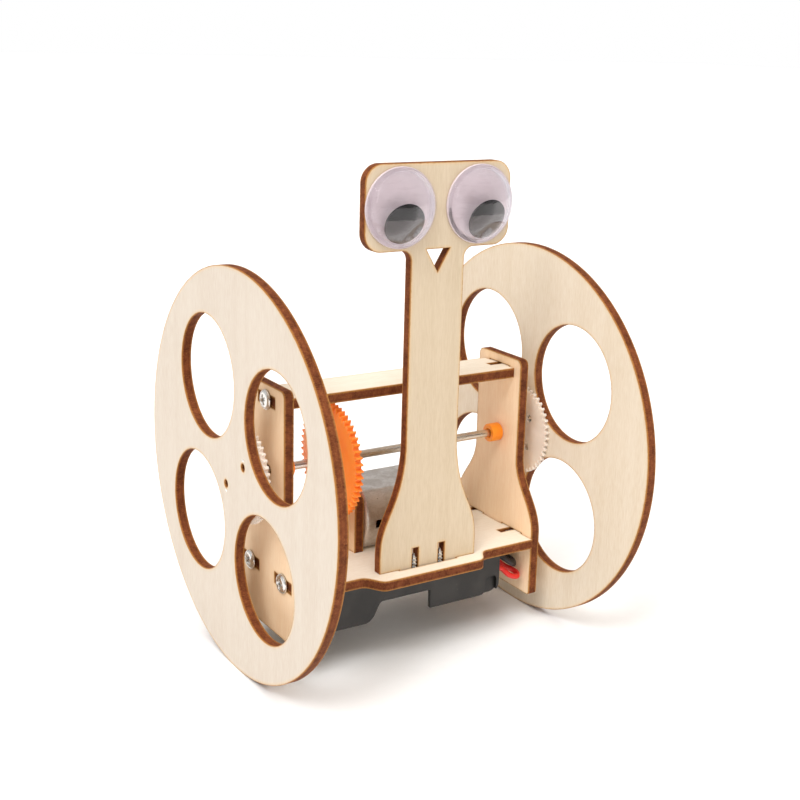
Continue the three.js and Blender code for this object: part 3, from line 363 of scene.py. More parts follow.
def pupil_with_painted_reflection(name, split_z):
    """Black disc whose lower part is painted grey as a reflection of the bright floor; split_z is where it
    starts.
    """
    look = Look(name, Specular_IOR_Level=0.2)
    height = look.add("SeparateXYZ", Vector=look.mm()).outputs[2]
    wave = look.noise(look.mm((1, 1, 0.2)), 0.9, 3, 0.6)
    level = look.math("ADD", height, look.math("MULTIPLY", wave, 1.6))
    reflection_mottle = look.noise(look.mm((0.3, 0.3, 1)), 1.6, 4, 0.6)
    # Painted reflection: the grey below split_z paints the bright floor's reflection in the dome and disc;
    # above it the disc is black.
    grey = look.mix(look.span(reflection_mottle, 0.3, 0.7), linear(88, 83, 82), linear(74, 70, 69))
    look.colour(look.mix(look.span(level, split_z, split_z + 0.25), grey, linear(22, 20, 20)))
    look.roughness(look.span(reflection_mottle, 0.3, 0.7, 0.35, 0.5))
    return look.material


def foam(name):
    look = Look(name, roughness=0.95)
    cells = look.add("TexVoronoi", Vector=look.mm(), Scale=2.4).outputs["Distance"]
    look.colour(look.mix(look.span(cells, 0.1, 0.6), linear(196, 190, 178), linear(236, 232, 222)))
    look.bump(cells, 0.12)
    return look.material


WOOD = {
    "cut": wood_cut("laser_cut", 3),
    "wheel": wood_face("wood_wheel", 11, Z, (214, 204, 191), (205, 191, 176)),
    "wheel_warm": wood_face("wood_wheel_warm", 17, Z, (228, 215, 196), (217, 200, 176)),
    "side": wood_face("wood_side", 23, Z, (250, 222, 188), (242, 208, 170)),
    "flat": wood_face("wood_flat", 37, X, (238, 228, 212), (229, 215, 195)),
    "neck": wood_face("wood_neck", 53, Z, (213, 196, 171), (203, 184, 156)),
}
LOOKS = {
    "steel": brushed("steel_rod", linear(214, 206, 196), X),
    "screw_steel": plated("screw_plating", linear(232, 230, 226)),
    "motor_steel": galvanised("motor_zinc"),
    "contact_steel": brushed("spring_steel", linear(206, 204, 200), Z, (0.22, 0.4), 0.4),
    "brass": brushed("terminal_brass", linear(214, 178, 104), Y, (0.2, 0.4), 0.3),
    "magnet": moulded("magnet_ferrite", (66, 62, 60), (48, 45, 44), (0.5, 0.7), 0.03),
    "armature": wound("armature_winding"),
    "orange_plastic": moulded("orange_plastic", (255, 146, 56), (255, 136, 44), (0.38, 0.55),
                              Subsurface_Weight=0.3, Subsurface_Radius=(1.0, 0.5, 0.15),
                              Subsurface_Scale=1.2 * MM),
    "amber_plastic": moulded("amber_plastic", (255, 152, 34), (250, 142, 26), (0.38, 0.55),
                             Subsurface_Weight=0.2, Subsurface_Radius=(1.0, 0.5, 0.15),
                             Subsurface_Scale=1.0 * MM),
    "milky_plastic": moulded("milky_plastic", (229, 214, 200), (220, 203, 188), (0.36, 0.55),
                             Subsurface_Weight=0.5, Subsurface_Radius=(1.0, 0.8, 0.7),
                             Subsurface_Scale=1.5 * MM),
    "eye_white": moulded("eye_white", (210, 196, 200), (202, 187, 191), (0.25, 0.4)),
    "eye_dome": clear_dome("eye_dome"),
    "pupil_black": pupil_with_painted_reflection("pupil_black", middle("left_pupil")[Z] + 1.6),
    "bell_plastic": moulded("bell_plastic", (236, 230, 216), (224, 216, 200)),
    "black_plastic": dusty_black("holder_plastic"),
    "foam_tape": foam("foam_tape"),
    "red_vinyl": moulded("red_vinyl", (226, 44, 34), (206, 32, 26), (0.28, 0.42)),
    "black_vinyl": moulded("black_vinyl", (50, 46, 46), (38, 35, 35), (0.3, 0.45)),
}


# ---------------------------------------------------------------- reading outlines off the frame

def merged(node):
    """Corners in millimetres and triangles of a CAD node, with coincident corners made one."""
    mesh = frame["nodes"][node].data
    mesh.calc_loop_triangles()
    places = np.array([v.co for v in mesh.vertices]) / MM
    corners, index = np.unique(places.round(3), axis=0, return_inverse=True)
    index = np.asarray(index).ravel()
    triangles = np.array([t.vertices for t in mesh.loop_triangles])
    return corners, index[triangles]


def outlines(node, axis, top=True):
    """Loops round the flat face at a node's far or near end of an axis, with material on the left."""
    corners, triangles = merged(node)
    level = corners[:, axis].max() if top else corners[:, axis].min()
    flat = np.abs(corners[:, axis] - level) < 2e-3
    face = triangles[flat[triangles].all(axis=1)]
    edges = {(int(a), int(b)) for t in face for a, b in zip(t, np.roll(t, -1))}
    follow = {a: b for a, b in edges if (b, a) not in edges}
    plane = [(axis + 1) % 3, (axis + 2) % 3]
    loops = []
    while follow:
        first = min(follow)
        chain = [first]
        while follow[chain[-1]] != first:
            chain.append(follow.pop(chain[-1]))
        follow.pop(chain[-1])
        loop = corners[chain][:, plane]
        loops.append(straightened(loop if top else loop[::-1]))
    return sorted(loops, key=lambda loop: -abs(area(loop)))


def area(loop):
    after = np.roll(loop, -1, 0)
    return 0.5 * (loop[:, 0] * after[:, 1] - after[:, 0] * loop[:, 1]).sum()


def turns(loop):
    """Each corner's turn in radians, and the length and direction of the run that follows it."""
    step = np.roll(loop, -1, 0) - loop
    length = np.linalg.norm(step, axis=1)
    heading = step / length[:, None]
    before = np.roll(heading, 1, 0)
    cross = before[:, 0] * heading[:, 1] - before[:, 1] * heading[:, 0]
    dot = (before * heading).sum(1)
    return np.arctan2(cross, dot), length, heading


def straightened(loop):
    """Leaves out corners that stand on a straight run."""
    turn, _, _ = turns(loop)
    return loop[np.abs(turn) > math.radians(0.3)]


def refined(loop, step, corner=39.0):
    """Curves put back on a faceted outline; turns over corner degrees stay sharp."""
    turn, length, heading = turns(loop)
    before = np.roll(heading, 1, 0)
    length_before = np.roll(length, 1)
    tangent = before * length[:, None] + heading * length_before[:, None]
    tangent[length > 2.2 * length_before] = heading[length > 2.2 * length_before]
    tangent[length_before > 2.2 * length] = before[length_before > 2.2 * length]
    tangent /= np.linalg.norm(tangent, axis=1)[:, None]
    sharp = np.abs(turn) > math.radians(corner)
    leaving = np.where(sharp[:, None], heading, tangent)
    arriving = np.roll(np.where(sharp[:, None], before, tangent), -1, 0)
    points = []
    for start, end, out, into, size in zip(loop, np.roll(loop, -1, 0), leaving, arriving, length):
        count = max(1, math.ceil(size / step - 0.05))
        t = (np.arange(count) / count)[:, None]
        points.append(start * (2 * t**3 - 3 * t**2 + 1) + end * (3 * t**2 - 2 * t**3)
                      + out * size * (t**3 - 2 * t**2 + t) + into * size * (t**3 - t**2))
    return np.vstack(points)


def inset(loop, distance):
    """The loop moved to its left, into the material."""
    _, _, heading = turns(loop)
    after = np.stack([-heading[:, 1], heading[:, 0]], 1)
    before = np.roll(after, 1, 0)
    spread = 1 + (after * before).sum(1)
    return loop + (after + before) * (distance / np.maximum(spread, 0.35))[:, None]


def inside(points, loops):
    """Whether each point is in the material, by how many outline runs lie to its right."""
    crossings = np.zeros(len(points), int)
    for loop in loops:
        after = np.roll(loop, -1, 0)
        for (x0, y0), (x1, y1) in zip(loop, after):
            spans = (y0 > points[:, 1]) != (y1 > points[:, 1])
            if spans.any():
                at = x0 + (points[:, 1] - y0) * (x1 - x0) / (y1 - y0 if y1 != y0 else 1)
                crossings += spans & (points[:, 0] < at)
    return crossings % 2 == 1


def clearance(points, loops):
    """Each point's distance to the nearest outline."""
    nearest = np.full(len(points), 1e9)
    for loop in loops:
        after = np.roll(loop, -1, 0)
        for start, end in zip(loop, after):
            run = end - start
            t = np.clip(((points - start) @ run) / (run @ run), 0, 1)
            gap = np.linalg.norm(points - start - t[:, None] * run, axis=1)
            nearest = np.minimum(nearest, gap)
    return nearest


# ---------------------------------------------------------------- writing meshes

def new_object(name, vertices, faces, looks, material_index=None, smooth=40.0):
    mesh = bpy.data.meshes.new(name)
    mesh.from_pydata([tuple(v) for v in np.asarray(vertices) * MM], [], faces)
    for look in looks:
        mesh.materials.append(look)
    if material_index is not None:
        mesh.polygons.foreach_set("material_index", np.asarray(material_index, np.int32))
    mesh.update()
    piece = bpy.data.objects.new(name, mesh)
    shaded(piece, smooth)
    bpy.context.scene.collection.objects.link(piece)
    return piece


def shaded(piece, angle):
    """Smooth shading that breaks at edges sharper than an angle in degrees."""
    piece.data.shade_smooth()
    piece.data.set_sharp_from_angle(angle=math.radians(angle))


def stand_for(piece, node):
    """piece stands in for a CAD node: it joins the node's body, and the node is hidden."""
    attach(piece, BODY_OF[node])
    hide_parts(node)


def solid_points(axis, flat, level):
    """Points of a plane across an axis as points in space."""
    points = np.zeros((len(flat), 3))
    points[:, (axis + 1) % 3] = flat[:, 0]
    points[:, (axis + 2) % 3] = flat[:, 1]
    points[:, axis] = level
    return points


def filled(loops, extra):
    """Triangles, turning left, over the region inside the loops; extra points stand inside it."""
    points = np.vstack([*loops, extra]) if len(extra) else np.vstack(loops)
    edges, base = [], 0
    for loop in loops:
        ids = base + np.arange(len(loop))
        edges += list(zip(ids.tolist(), np.roll(ids, -1).tolist()))
        base += len(loop)
    result = geometry.delaunay_2d_cdt([Vector(p) for p in points], edges, [], 0, 1e-7)
    places, triangles, origins = np.array([tuple(p) for p in result[0]]), result[2], result[3]
    centres = np.array([places[list(t)].mean(0) for t in triangles])
    keep = inside(centres, loops)
    index = [o[0] for o in origins]
    out = []
    for triangle, kept in zip(triangles, keep):
        if kept:
            a, b, c = (places[i] for i in triangle)
            ids = [index[i] for i in triangle]
            left = (b[0] - a[0]) * (c[1] - a[1]) - (b[1] - a[1]) * (c[0] - a[0]) > 0
            out.append(ids if left else ids[::-1])
    return out


EDGE_ROWS = (0.35, 0.8, 1.7)  # rows of points beside a cut, for the scorch to fade over
OUTLINE_STEP = 0.8
NET_STEP = 4.0  # between the points that fill the rest of a board's face


def plate(name, loops, axis, start, end, looks, bevel=0.1, rows=EDGE_ROWS):
    """A board with rounded arrises: looks[0] on its faces and looks[1] on its cut edges."""
    face_loops = [inset(loop, bevel) for loop in loops]
    extra = np.zeros((0, 2))
    if rows:
        lows, highs = loops[0].min(0), loops[0].max(0)
        candidates = [(inset(loop, row + bevel), row) for loop in loops for row in rows]
        for points, row in candidates:
            points = points[::max(1, round(row / OUTLINE_STEP))]
            points = points[inside(points, loops)]
            points = points[clearance(points, loops) > 0.93 * (row + bevel)]
            extra = np.vstack([extra, points])
        us, vs = np.meshgrid(*(np.arange(a, b, NET_STEP) for a, b in zip(lows, highs)))
        net = np.stack([us.ravel(), vs.ravel()], 1)
        net = net[inside(net, loops)]
        extra = np.vstack([extra, net[clearance(net, loops) > rows[-1] + 0.8]])
        extra = np.unique(extra.round(4), axis=0)
    triangles = filled(face_loops, extra)

    soft = 0.293 * bevel
    profile = [(bevel, end), (soft, end - soft), (0, end - bevel),
               (0, start + bevel), (soft, start + soft), (bevel, start)]
    count = sum(len(loop) for loop in loops)
    vertices = []
    for depth, level in profile:
        ring = np.vstack([inset(loop, depth) if depth else loop for loop in loops])
        vertices.append(solid_points(axis, ring, level))
    vertices += [solid_points(axis, extra, end), solid_points(axis, extra, start)]
    ring_total = count * len(profile)

    def on_top(i):
        return i if i < count else ring_total + i - count

    def on_bottom(i):
        return i + (len(profile) - 1) * count if i < count else ring_total + len(extra) + i - count

    faces = [[on_top(i) for i in t] for t in triangles]
    faces += [[on_bottom(i) for i in reversed(t)] for t in triangles]
    flat_faces = len(faces)
    uvs = [(0.0, 0.0)] * (3 * flat_faces)
    base = 0
    for loop in loops:
        size = len(loop)
        gaps = np.linalg.norm(np.roll(loop, -1, 0) - loop, axis=1)
        run = np.concatenate([[0], np.cumsum(gaps)])
        for k in range(len(profile) - 1):
            t0 = (profile[k][1] - start) / (end - start)
            t1 = (profile[k + 1][1] - start) / (end - start)
            for i in range(size):
                j = (i + 1) % size
                top, bottom = k * count + base, (k + 1) * count + base
                faces.append([top + i, bottom + i, bottom + j, top + j])
                uvs += [(run[i], t0), (run[i], t1), (run[i + 1], t1), (run[i + 1], t0)]
        base += size
    material_index = [0] * flat_faces + [min(1, len(looks) - 1)] * (len(faces) - flat_faces)
    piece = new_object(name, np.vstack(vertices), faces, looks, material_index)
    layer = piece.data.uv_layers.new(name="cut")
    layer.data.foreach_set("uv", np.array(uvs, np.float32).ravel())
    if rows:
        far = clearance(extra, loops)
        edge = np.concatenate([np.repeat([bevel, 0, 0, 0, 0, bevel], count), far, far])
        piece.data.attributes.new("edge", "FLOAT", "POINT").data.foreach_set("value", edge.astype(np.float32))
    return piece


def board(node, axis, face, step=OUTLINE_STEP):
    """A laser-cut plywood board on its CAD node's outline."""
    loops = [refined(loop, step) for loop in outlines(node, axis)]
    piece = plate(f"{node}_fine", loops, axis, low(node)[axis], high(node)[axis], [WOOD[face], WOOD["cut"]])
    stand_for(piece, node)


def skinned(name, rings, look, closed=False, smooth=40.0):
    """A skin over rings of points; a ring of one point is a tip, and closed joins last to first."""
    rings = np.asarray(rings, float)
    rows, columns, _ = rings.shape
    vertices, index = [], np.zeros((rows, columns), int)
    for r in range(rows):
        if np.ptp(rings[r], axis=0).max() < 1e-6:
            index[r] = len(vertices)
            vertices.append(rings[r, 0])
        else:
            index[r] = len(vertices) + np.arange(columns)
            vertices.extend(rings[r])
    faces = []
    for r in range(rows if closed else rows - 1):
        upper, lower = index[r], index[(r + 1) % rows]
        for c in range(columns):
            d = (c + 1) % columns
            corners = [upper[c], lower[c], lower[d], upper[d]]
            unique = [int(v) for i, v in enumerate(corners) if v != corners[i - 1]]
            if len(unique) >= 3:
                faces.append(unique)
    if not closed:
        for r, order in ((0, 1), (rows - 1, -1)):
            if len(set(index[r])) > 1:
                faces.append([int(v) for v in index[r][::order]])
    return new_object(name, vertices, faces, [look], None, smooth)


def ring_angles(columns):
    return 2 * math.pi * np.arange(columns) / columns


def circle(radius, columns):
    """Points evenly round a circle; radius may also be given for each point."""
    angles = ring_angles(columns)
    return np.stack([radius * np.cos(angles), radius * np.sin(angles)], 1)


def turned(name, profile, axis, centre, look, columns, closed=False):
    """A lathe-turned piece: profile holds (radius, place along the axis) pairs."""
    flat_centre = np.array([centre[(axis + 1) % 3], centre[(axis + 2) % 3]])
    rings = [solid_points(axis, flat_centre + circle(radius, columns), level) for radius, level in profile]
    return skinned(name, rings, look, closed)


def flipped(piece):
    """Faces turned to point out of the piece."""
    mesh = piece.data
    mesh.calc_loop_triangles()
    places = np.array([v.co for v in mesh.vertices])
    corners = places[np.array([t.vertices for t in mesh.loop_triangles])]
    volume = np.einsum("ij,ij->i", corners[:, 0], np.cross(corners[:, 1], corners[:, 2])).sum()
    if volume < 0:
        mesh.flip_normals()
    return piece


def lathed(node, profile, axis, look, columns, closed=False):
    """A turned piece about a node's middle, which stands for the node."""
    piece = turned(f"{node}_fine", profile, axis, middle(node), LOOKS[look], columns, closed)
    stand_for(flipped(piece), node)


def arc(centre_r, centre_h, radius, start, end, steps):
    """Profile points on a quarter or half round, angles in degrees from outwards to up."""
    angles = np.radians(np.linspace(start, end, steps + 1))
    return [(centre_r + radius * math.cos(a), centre_h + radius * math.sin(a)) for a in angles]


def combine(piece, other, operation):
    """piece joined with or cut by another mesh, which is used up."""
    modifier = piece.modifiers.new("combine", "BOOLEAN")
    modifier.operation = operation
    modifier.solver = "EXACT"
    modifier.object = other
    graph = bpy.context.evaluated_depsgraph_get()
    mesh = bpy.data.meshes.new_from_object(piece.evaluated_get(graph), depsgraph=graph)
    piece.modifiers.clear()
    piece.data = mesh
    bpy.data.objects.remove(other)


def softened(piece, width, limit=35.0):
    """Rounded edges on a piece or on a CAD node that keeps its own mesh."""
    modifier = piece.modifiers.new("soften", "BEVEL")
    modifier.width = width * MM
    modifier.segments = 2
    modifier.limit_method = "ANGLE"
    modifier.angle_limit = math.radians(limit)


# ---------------------------------------------------------------- plywood boards

board("left_wheel", X, "wheel")
board("right_wheel", X, "wheel_warm")
board("left_side_plate", X, "side")
board("right_side_plate", X, "side")
board("base_plate", Z, "flat")
board("top_bar", Z, "flat")
board("neck_head_plate", Y, "neck", 0.6)
board("motor_bracket", X, "side", 0.6)


# ---------------------------------------------------------------- axle, shaft, collars and gears

AXLE_CHAMFER = 0.25


def rod(node):
    """A ground rod with a chamfer at each end; its faces point inwards."""
    radius = (high(node) - low(node))[Z] / 2
    start, end = low(node)[X], high(node)[X]
    profile = [(0, start), (radius - AXLE_CHAMFER, start), (radius, start + AXLE_CHAMFER),
               (radius, end - AXLE_CHAMFER), (radius - AXLE_CHAMFER, end), (0, end)]
    stand_for(turned(f"{node}_fine", profile, X, middle(node), LOOKS["steel"], 48), node)


rod("axle")
rod("motor_shaft")
AXLE_R = (high("axle") - low("axle"))[Z] / 2
BORE_R = AXLE_R + 0.02
SINK_WIDER = 0.3
SINK_DEEP = 0.35
COLLAR_RIM_R = 0.22
BOSS_ROUND = 0.3


def collar(node):
    """A moulded collar: rounded rims and a countersunk bore."""
    radius = (high(node) - low(node))[Z] / 2
    start, end = low(node)[X], high(node)[X]
    rim = COLLAR_RIM_R
    profile = [(BORE_R, start + SINK_DEEP), (BORE_R + SINK_WIDER, start), (radius - rim - 0.25, start)]
    profile += arc(radius - rim, start + rim, rim, -90, 0, 4)
    profile += arc(radius - rim, end - rim, rim, 0, 90, 4)
    profile += [(BORE_R + SINK_WIDER, end), (BORE_R, end - SINK_DEEP)]
    lathed(node, profile[::-1], X, "amber_plastic", 72, True)


collar("left_collar")
collar("right_collar")


def around_axis(loop, centre):
    """Whether a loop goes round the axis itself, as a bore or an outside does."""
    return bool(inside(np.array([centre]), [loop])[0])


def gear(node, thickness, plate_low, look):
    """A moulded gear on its CAD outline: toothed plate, boss with rounded end, and a through bore."""
    centre = middle(node)
    flat = centre[[1, 2]]
    start, end = low(node)[X], high(node)[X]
    plate_start, plate_end = (start, start + thickness) if plate_low else (end - thickness, end)
    loops = [refined(loop, 0.28, 30) for loop in outlines(node, X, not plate_low)]
    bored = [loop for i, loop in enumerate(loops) if i == 0 or not around_axis(loop, flat)]
    piece = plate(f"{node}_fine", bored, X, plate_start, plate_end, [look], 0.07, None)
    if end - start > thickness + 0.1:
        boss_r = np.abs(outlines(node, X, plate_low)[0] - flat).max()
        far = end if plate_low else start
        near = plate_end - BOSS_ROUND if plate_low else plate_start + BOSS_ROUND
        side = 1 if plate_low else -1
        round_end = arc(boss_r - BOSS_ROUND, 0, BOSS_ROUND, 0, 90, 4)
        tip = [(r, far - side * (BOSS_ROUND - h)) for r, h in round_end]
        profile = [(0, near), (boss_r, near), *tip, (0, far)]
        combine(piece, flipped(turned("boss", profile, X, centre, look, 64)), "UNION")
    bore = [(0, start - 1), (BORE_R, start - 1), (BORE_R, end + 1), (0, end + 1)]
    combine(piece, flipped(turned("bore", bore, X, centre, look, 48)), "DIFFERENCE")
    shaded(piece, 32)
    stand_for(piece, node)


DRIVE_THICK = 1.7
PINION_THICK = 3.0
HUB_THICK = 1.0
gear("drive_gear", DRIVE_THICK, True, LOOKS["orange_plastic"])
gear("pinion", PINION_THICK, True, LOOKS["milky_plastic"])
gear("left_hub_gear", HUB_THICK, True, LOOKS["milky_plastic"])
gear("right_hub_gear", HUB_THICK, False, LOOKS["milky_plastic"])


# ---------------------------------------------------------------- screws

HEAD_H = 1.0
HEAD_R = 2.45
THREAD_PITCH = 0.85
THREAD_ROOT_R = 0.68
THREAD_CREST_R = 0.94
RECESS_REACH = 1.3
RECESS_HALF = 0.27
RECESS_END_SLOPE = 0.35
RECESS_SIDE_SLOPE = 0.1
RECESS_DEPTH = 0.55
SCREW_COLUMNS = 72


def pan_height(radius):
    """Height of the pan head's top at a radius, measured from its seat."""
    dome = 1 - 0.16 * (radius / HEAD_R) ** 2
    side = math.sqrt(max(0.0, 1 - max(0.0, (radius - 0.62 * HEAD_R) / (0.38 * HEAD_R)) ** 2))
    return HEAD_H * dome * (0.28 + 0.72 * side)


def screw(node, turn):
    """A pan-head screw with a cross recess and a cut thread; turn is the cross's angle in degrees."""
    corners, _ = merged(node)
    size = high(node) - low(node)
    axis = int(np.argmax(size))
    centre = middle(node)
    flat = [(axis + 1) % 3, (axis + 2) % 3]
    reach = np.linalg.norm(corners[:, flat] - centre[flat], axis=1)
    wide = corners[reach > HEAD_R - 0.05, axis].mean()
    side = 1 if wide > centre[axis] else -1
    top = high(node)[axis] if side > 0 else low(node)[axis]
    length = size[axis] - HEAD_H

    angles = ring_angles(SCREW_COLUMNS)
    rings = [(0, pan_height(0) - RECESS_DEPTH)]
    for radius in [*np.arange(0.1, 1.61, 0.094), *np.linspace(1.75, HEAD_R, 9)]:
        u = radius * np.cos(angles + math.radians(turn))
        v = radius * np.sin(angles + math.radians(turn))
        depth = np.zeros(SCREW_COLUMNS)
        for along, across in ((np.abs(u), np.abs(v)), (np.abs(v), np.abs(u))):
            end_slope = np.clip((RECESS_REACH - along) / RECESS_END_SLOPE, 0, 1)
            side_slope = np.clip((RECESS_HALF + RECESS_SIDE_SLOPE - across) / RECESS_SIDE_SLOPE, 0, 1)
            depth = np.maximum(depth, end_slope * side_slope)
        rings.append((radius, pan_height(radius) - RECESS_DEPTH * depth))
    rings.append((HEAD_R - 0.08, 0))
    for depth in [0.02, *np.arange(0.12, length - 0.1, 0.11)]:
        phase = (depth / THREAD_PITCH - side * angles / (2 * math.pi)) % 1
        crest = np.clip(1 - np.abs(phase - 0.5) / 0.34, 0, 1)
        taper = np.clip((length - depth) / 1.2, 0.15, 1)
        rings.append(((THREAD_ROOT_R + (THREAD_CREST_R - THREAD_ROOT_R) * crest) * taper, -depth))
    rings.append((0, -length))

    seat = top - side * HEAD_H
    points = [solid_points(axis, centre[flat] + circle(radii, SCREW_COLUMNS), seat + side * heights)
              for radii, heights in rings]
    stand_for(flipped(skinned(f"{node}_fine", points, LOOKS["screw_steel"], smooth=50)), node)


SCREWS = sorted(node for node in frame["nodes"] if "screw" in node)
for number, node in enumerate(SCREWS):
    screw(node, 20 + 37 * number)


# ---------------------------------------------------------------- motor

CAN_R = (high("motor_can") - low("motor_can"))[Y] / 2
CAN_FLAT = (high("motor_can") - low("motor_can"))[Z] / 2
BOSS_R = 3.0
BOSS_LENGTH = 1.7
BOSS_FILLET = ((0, 0.25), (0.08, 0.08), (0.3, 0))  # wider than the boss, and ahead of the can's front
CAN_WALL = 0.5
CAN_END_WALL = 0.8
CAN_LIP = 0.12
CAN_CORNER_R = 1.1
CAN_WINDOW_X = (2.6, 4.5)  # from the can's front
CAN_WINDOW_Z = (-1.4, 0.7)  # from the motor's axis
SHAFT_HOLE_R = AXLE_R + 0.2
MOTOR_COLUMNS = 144
MOTOR_AXIS = middle("motor_shaft")


def double_d(shrink):
    """The can's section at each column: a circle with two flats, and soft corners between them."""
    soft = 0.1
    round_part = np.full(MOTOR_COLUMNS, CAN_R - shrink)
    flat_part = (CAN_FLAT - shrink) / np.maximum(np.abs(hoop(1)[:, 1]), 0.2)
    radius = -soft * np.log(np.exp(-round_part / soft) + np.exp(-flat_part / soft))
    return hoop(radius)


def hoop(radius):
    return circle(radius, MOTOR_COLUMNS)


def motor_skin(name, sections, look):
    """A skin over sections about the motor's axis, closed on itself."""
    rings = [solid_points(X, MOTOR_AXIS[[1, 2]] + outline, level) for outline, level in sections]
    return flipped(skinned(name, rings, look, True, 35))


def round_over(outline_at, face, radius, steps=6):
    """Sections that round a face over into the side; outline_at(shrink) gives a section."""
    sections = []
    for step in range(steps + 1):
        angle = math.pi / 2 * step / steps
        shrink = radius * (1 - math.sin(angle))
        sections.append((outline_at(shrink), face + radius * (1 - math.cos(angle))))
    return sections


def motor_can():
    node = "motor_can"
    front = low(node)[X] + BOSS_LENGTH
    back = high(node)[X]
    boss_face = front - BOSS_LENGTH
    sections = [(hoop(SHAFT_HOLE_R), boss_face + 0.15), (hoop(SHAFT_HOLE_R + 0.15), boss_face)]
    sections += round_over(lambda s: hoop(BOSS_R - s), boss_face, BOSS_ROUND, 4)
    sections += [(hoop(BOSS_R + wider), front - back_off) for wider, back_off in BOSS_FILLET]
    sections += round_over(double_d, front, CAN_CORNER_R)
    sections += [(double_d(0), back - CAN_LIP), (double_d(CAN_LIP), back), (double_d(CAN_WALL), back)]
    sections += [(double_d(CAN_WALL), front + 2 * CAN_END_WALL)]
    sections += [(double_d(CAN_WALL + CAN_END_WALL), front + CAN_END_WALL)]
    sections += [(hoop(SHAFT_HOLE_R), front + CAN_END_WALL)]
    can = motor_skin(f"{node}_fine", sections, LOOKS["motor_steel"])
    window = rounded_bar([front + x for x in CAN_WINDOW_X], [MOTOR_AXIS[Z] + z for z in CAN_WINDOW_Z], 0.3)
    combine(can, window, "DIFFERENCE")
    shaded(can, 35)
    stand_for(can, node)


def rounded_bar(span_x, span_z, radius):
    """A bar along Y with rounded corners, long enough to pass through the can."""
    corners = [(span_x[1], span_z[0], -90), (span_x[1], span_z[1], 0),
               (span_x[0], span_z[1], 90), (span_x[0], span_z[0], 180)]
    outline = []
    for x, z, first in corners:
        cx = x - radius if x == span_x[1] else x + radius
        cz = z - radius if z == span_z[1] else z + radius
        outline += arc(cx, cz, radius, first, first + 90, 4)
    return prism("window", outline, Y, low("motor_can")[Y] - 1, high("motor_can")[Y] + 1)


def prism(name, outline, axis, start, end, look=None):
    """A straight-sided cutter; its outline is given as (x, z) across Y, (y, z) across X, (x, y) across Z."""
    points = np.array(outline, float)
    if axis == Y:
        points = points[:, ::-1]
    if area(points) < 0:
        points = points[::-1]
    count = len(points)
    vertices = np.vstack([solid_points(axis, points, end), solid_points(axis, points, start)])
    faces = [list(range(count)), list(range(2 * count - 1, count - 1, -1))]
    faces += [[i, count + i, count + (i + 1) % count, (i + 1) % count] for i in range(count)]
    return new_object(name, vertices, faces, [look] if look else [])


motor_can()


BELL_BOSS_R = 2.6
BELL_BOSS_LENGTH = 1.4
BELL_BOSS_EDGE = 0.25
BELL_ROUND = 0.7
BELL_INSET = 0.12
BELL_ROOM_R = 6.0
BELL_FLOOR = 1.5
VENT_Z = 5.2  # from the motor's axis
VENT_HALF = (2.2, 0.8)
VENT_DEPTH = 0.7


def motor_end_bell():
    node = "motor_end_bell"
    collar_x = high("motor_can")[X]
    boss_end = high(node)[X]
    back = boss_end - BELL_BOSS_LENGTH
    boss_r, edge = BELL_BOSS_R, BELL_BOSS_EDGE
    plug = double_d(CAN_WALL + BELL_INSET)
    sections = [(plug, low(node)[X]), (plug, collar_x + 0.02)]
    sections += [(double_d(BELL_INSET), collar_x + 0.02), (double_d(0), collar_x + 0.14)]
    sections += [(s, back + back - x) for s, x in reversed(round_over(double_d, back, BELL_ROUND))]
    sections += [(hoop(boss_r + 0.3), back), (hoop(boss_r), back + edge)]
    sections += [(hoop(boss_r), boss_end - edge), (hoop(boss_r - edge), boss_end)]
    sections += [(hoop(SHAFT_HOLE_R + 0.1), boss_end), (hoop(SHAFT_HOLE_R), boss_end - 0.15)]
    sections += [(hoop(SHAFT_HOLE_R), back - BELL_FLOOR), (hoop(BELL_ROOM_R), back - BELL_FLOOR)]
    sections += [(hoop(BELL_ROOM_R), low(node)[X])]
    bell = motor_skin(f"{node}_fine", sections, LOOKS["bell_plastic"])
    for terminal in ("motor_terminal_front", "motor_terminal_back"):
        first, last = low(terminal) - 0.1, high(terminal) + 0.1
        slot = [(first[Y], first[Z]), (last[Y], first[Z]), (last[Y], last[Z]), (first[Y], last[Z])]
        combine(bell, prism("slot", slot, X, first[X], back + 1), "DIFFERENCE")
    for side in (-1, 1):
        z = MOTOR_AXIS[Z] + side * VENT_Z
        half_y, half_z = VENT_HALF
        vent = [(MOTOR_AXIS[Y] + half_y * u, z + half_z * v) for u, v in ((-1, -1), (1, -1), (1, 1), (-1, 1))]
        combine(bell, prism("vent", vent, X, back - VENT_DEPTH, back + 1), "DIFFERENCE")
    shaded(bell, 35)
    stand_for(bell, node)


motor_end_bell()


def pressed(node, axis, step, look, bevel):
    """A stamped or stacked part on its node's outline, with small rounded arrises."""
    loops = [refined(loop, step) for loop in outlines(node, axis)]
    start, end = low(node)[axis], high(node)[axis]
    stand_for(plate(f"{node}_fine", loops, axis, start, end, [look], bevel, None), node)


for node in ("motor_terminal_front", "motor_terminal_back"):
    pressed(node, Y, 0.25, LOOKS["brass"], 0.05)
for node in ("motor_armature", "motor_commutator"):
    pressed(node, X, 0.5, LOOKS[SLOT_OF[node]], 0.12)


# ---------------------------------------------------------------- googly eyes

EYE_COLUMNS = 96
BACK_EDGE = 0.25
SEAT_EDGE = 0.12
DOME_WALL = 0.4
DOME_R = 8.5
DOME_SIDE_H = 0.6
FLANGE_THICK = 0.4
FLANGE_EDGE_R = 0.16
DOME_FOOT = 0.08
PUPIL_EDGE_R = 0.12


def eye_back(node):
    radius = (high(node) - low(node))[X] / 2
    front, seat = high(node)[Y], low(node)[Y]
    profile = [(0, front), (radius - BACK_EDGE, front), (radius, front - BACK_EDGE)]
    profile += [(radius, seat + SEAT_EDGE), (radius - SEAT_EDGE, seat), (0, seat)]
    lathed(node, profile, Y, "eye_white", EYE_COLUMNS)


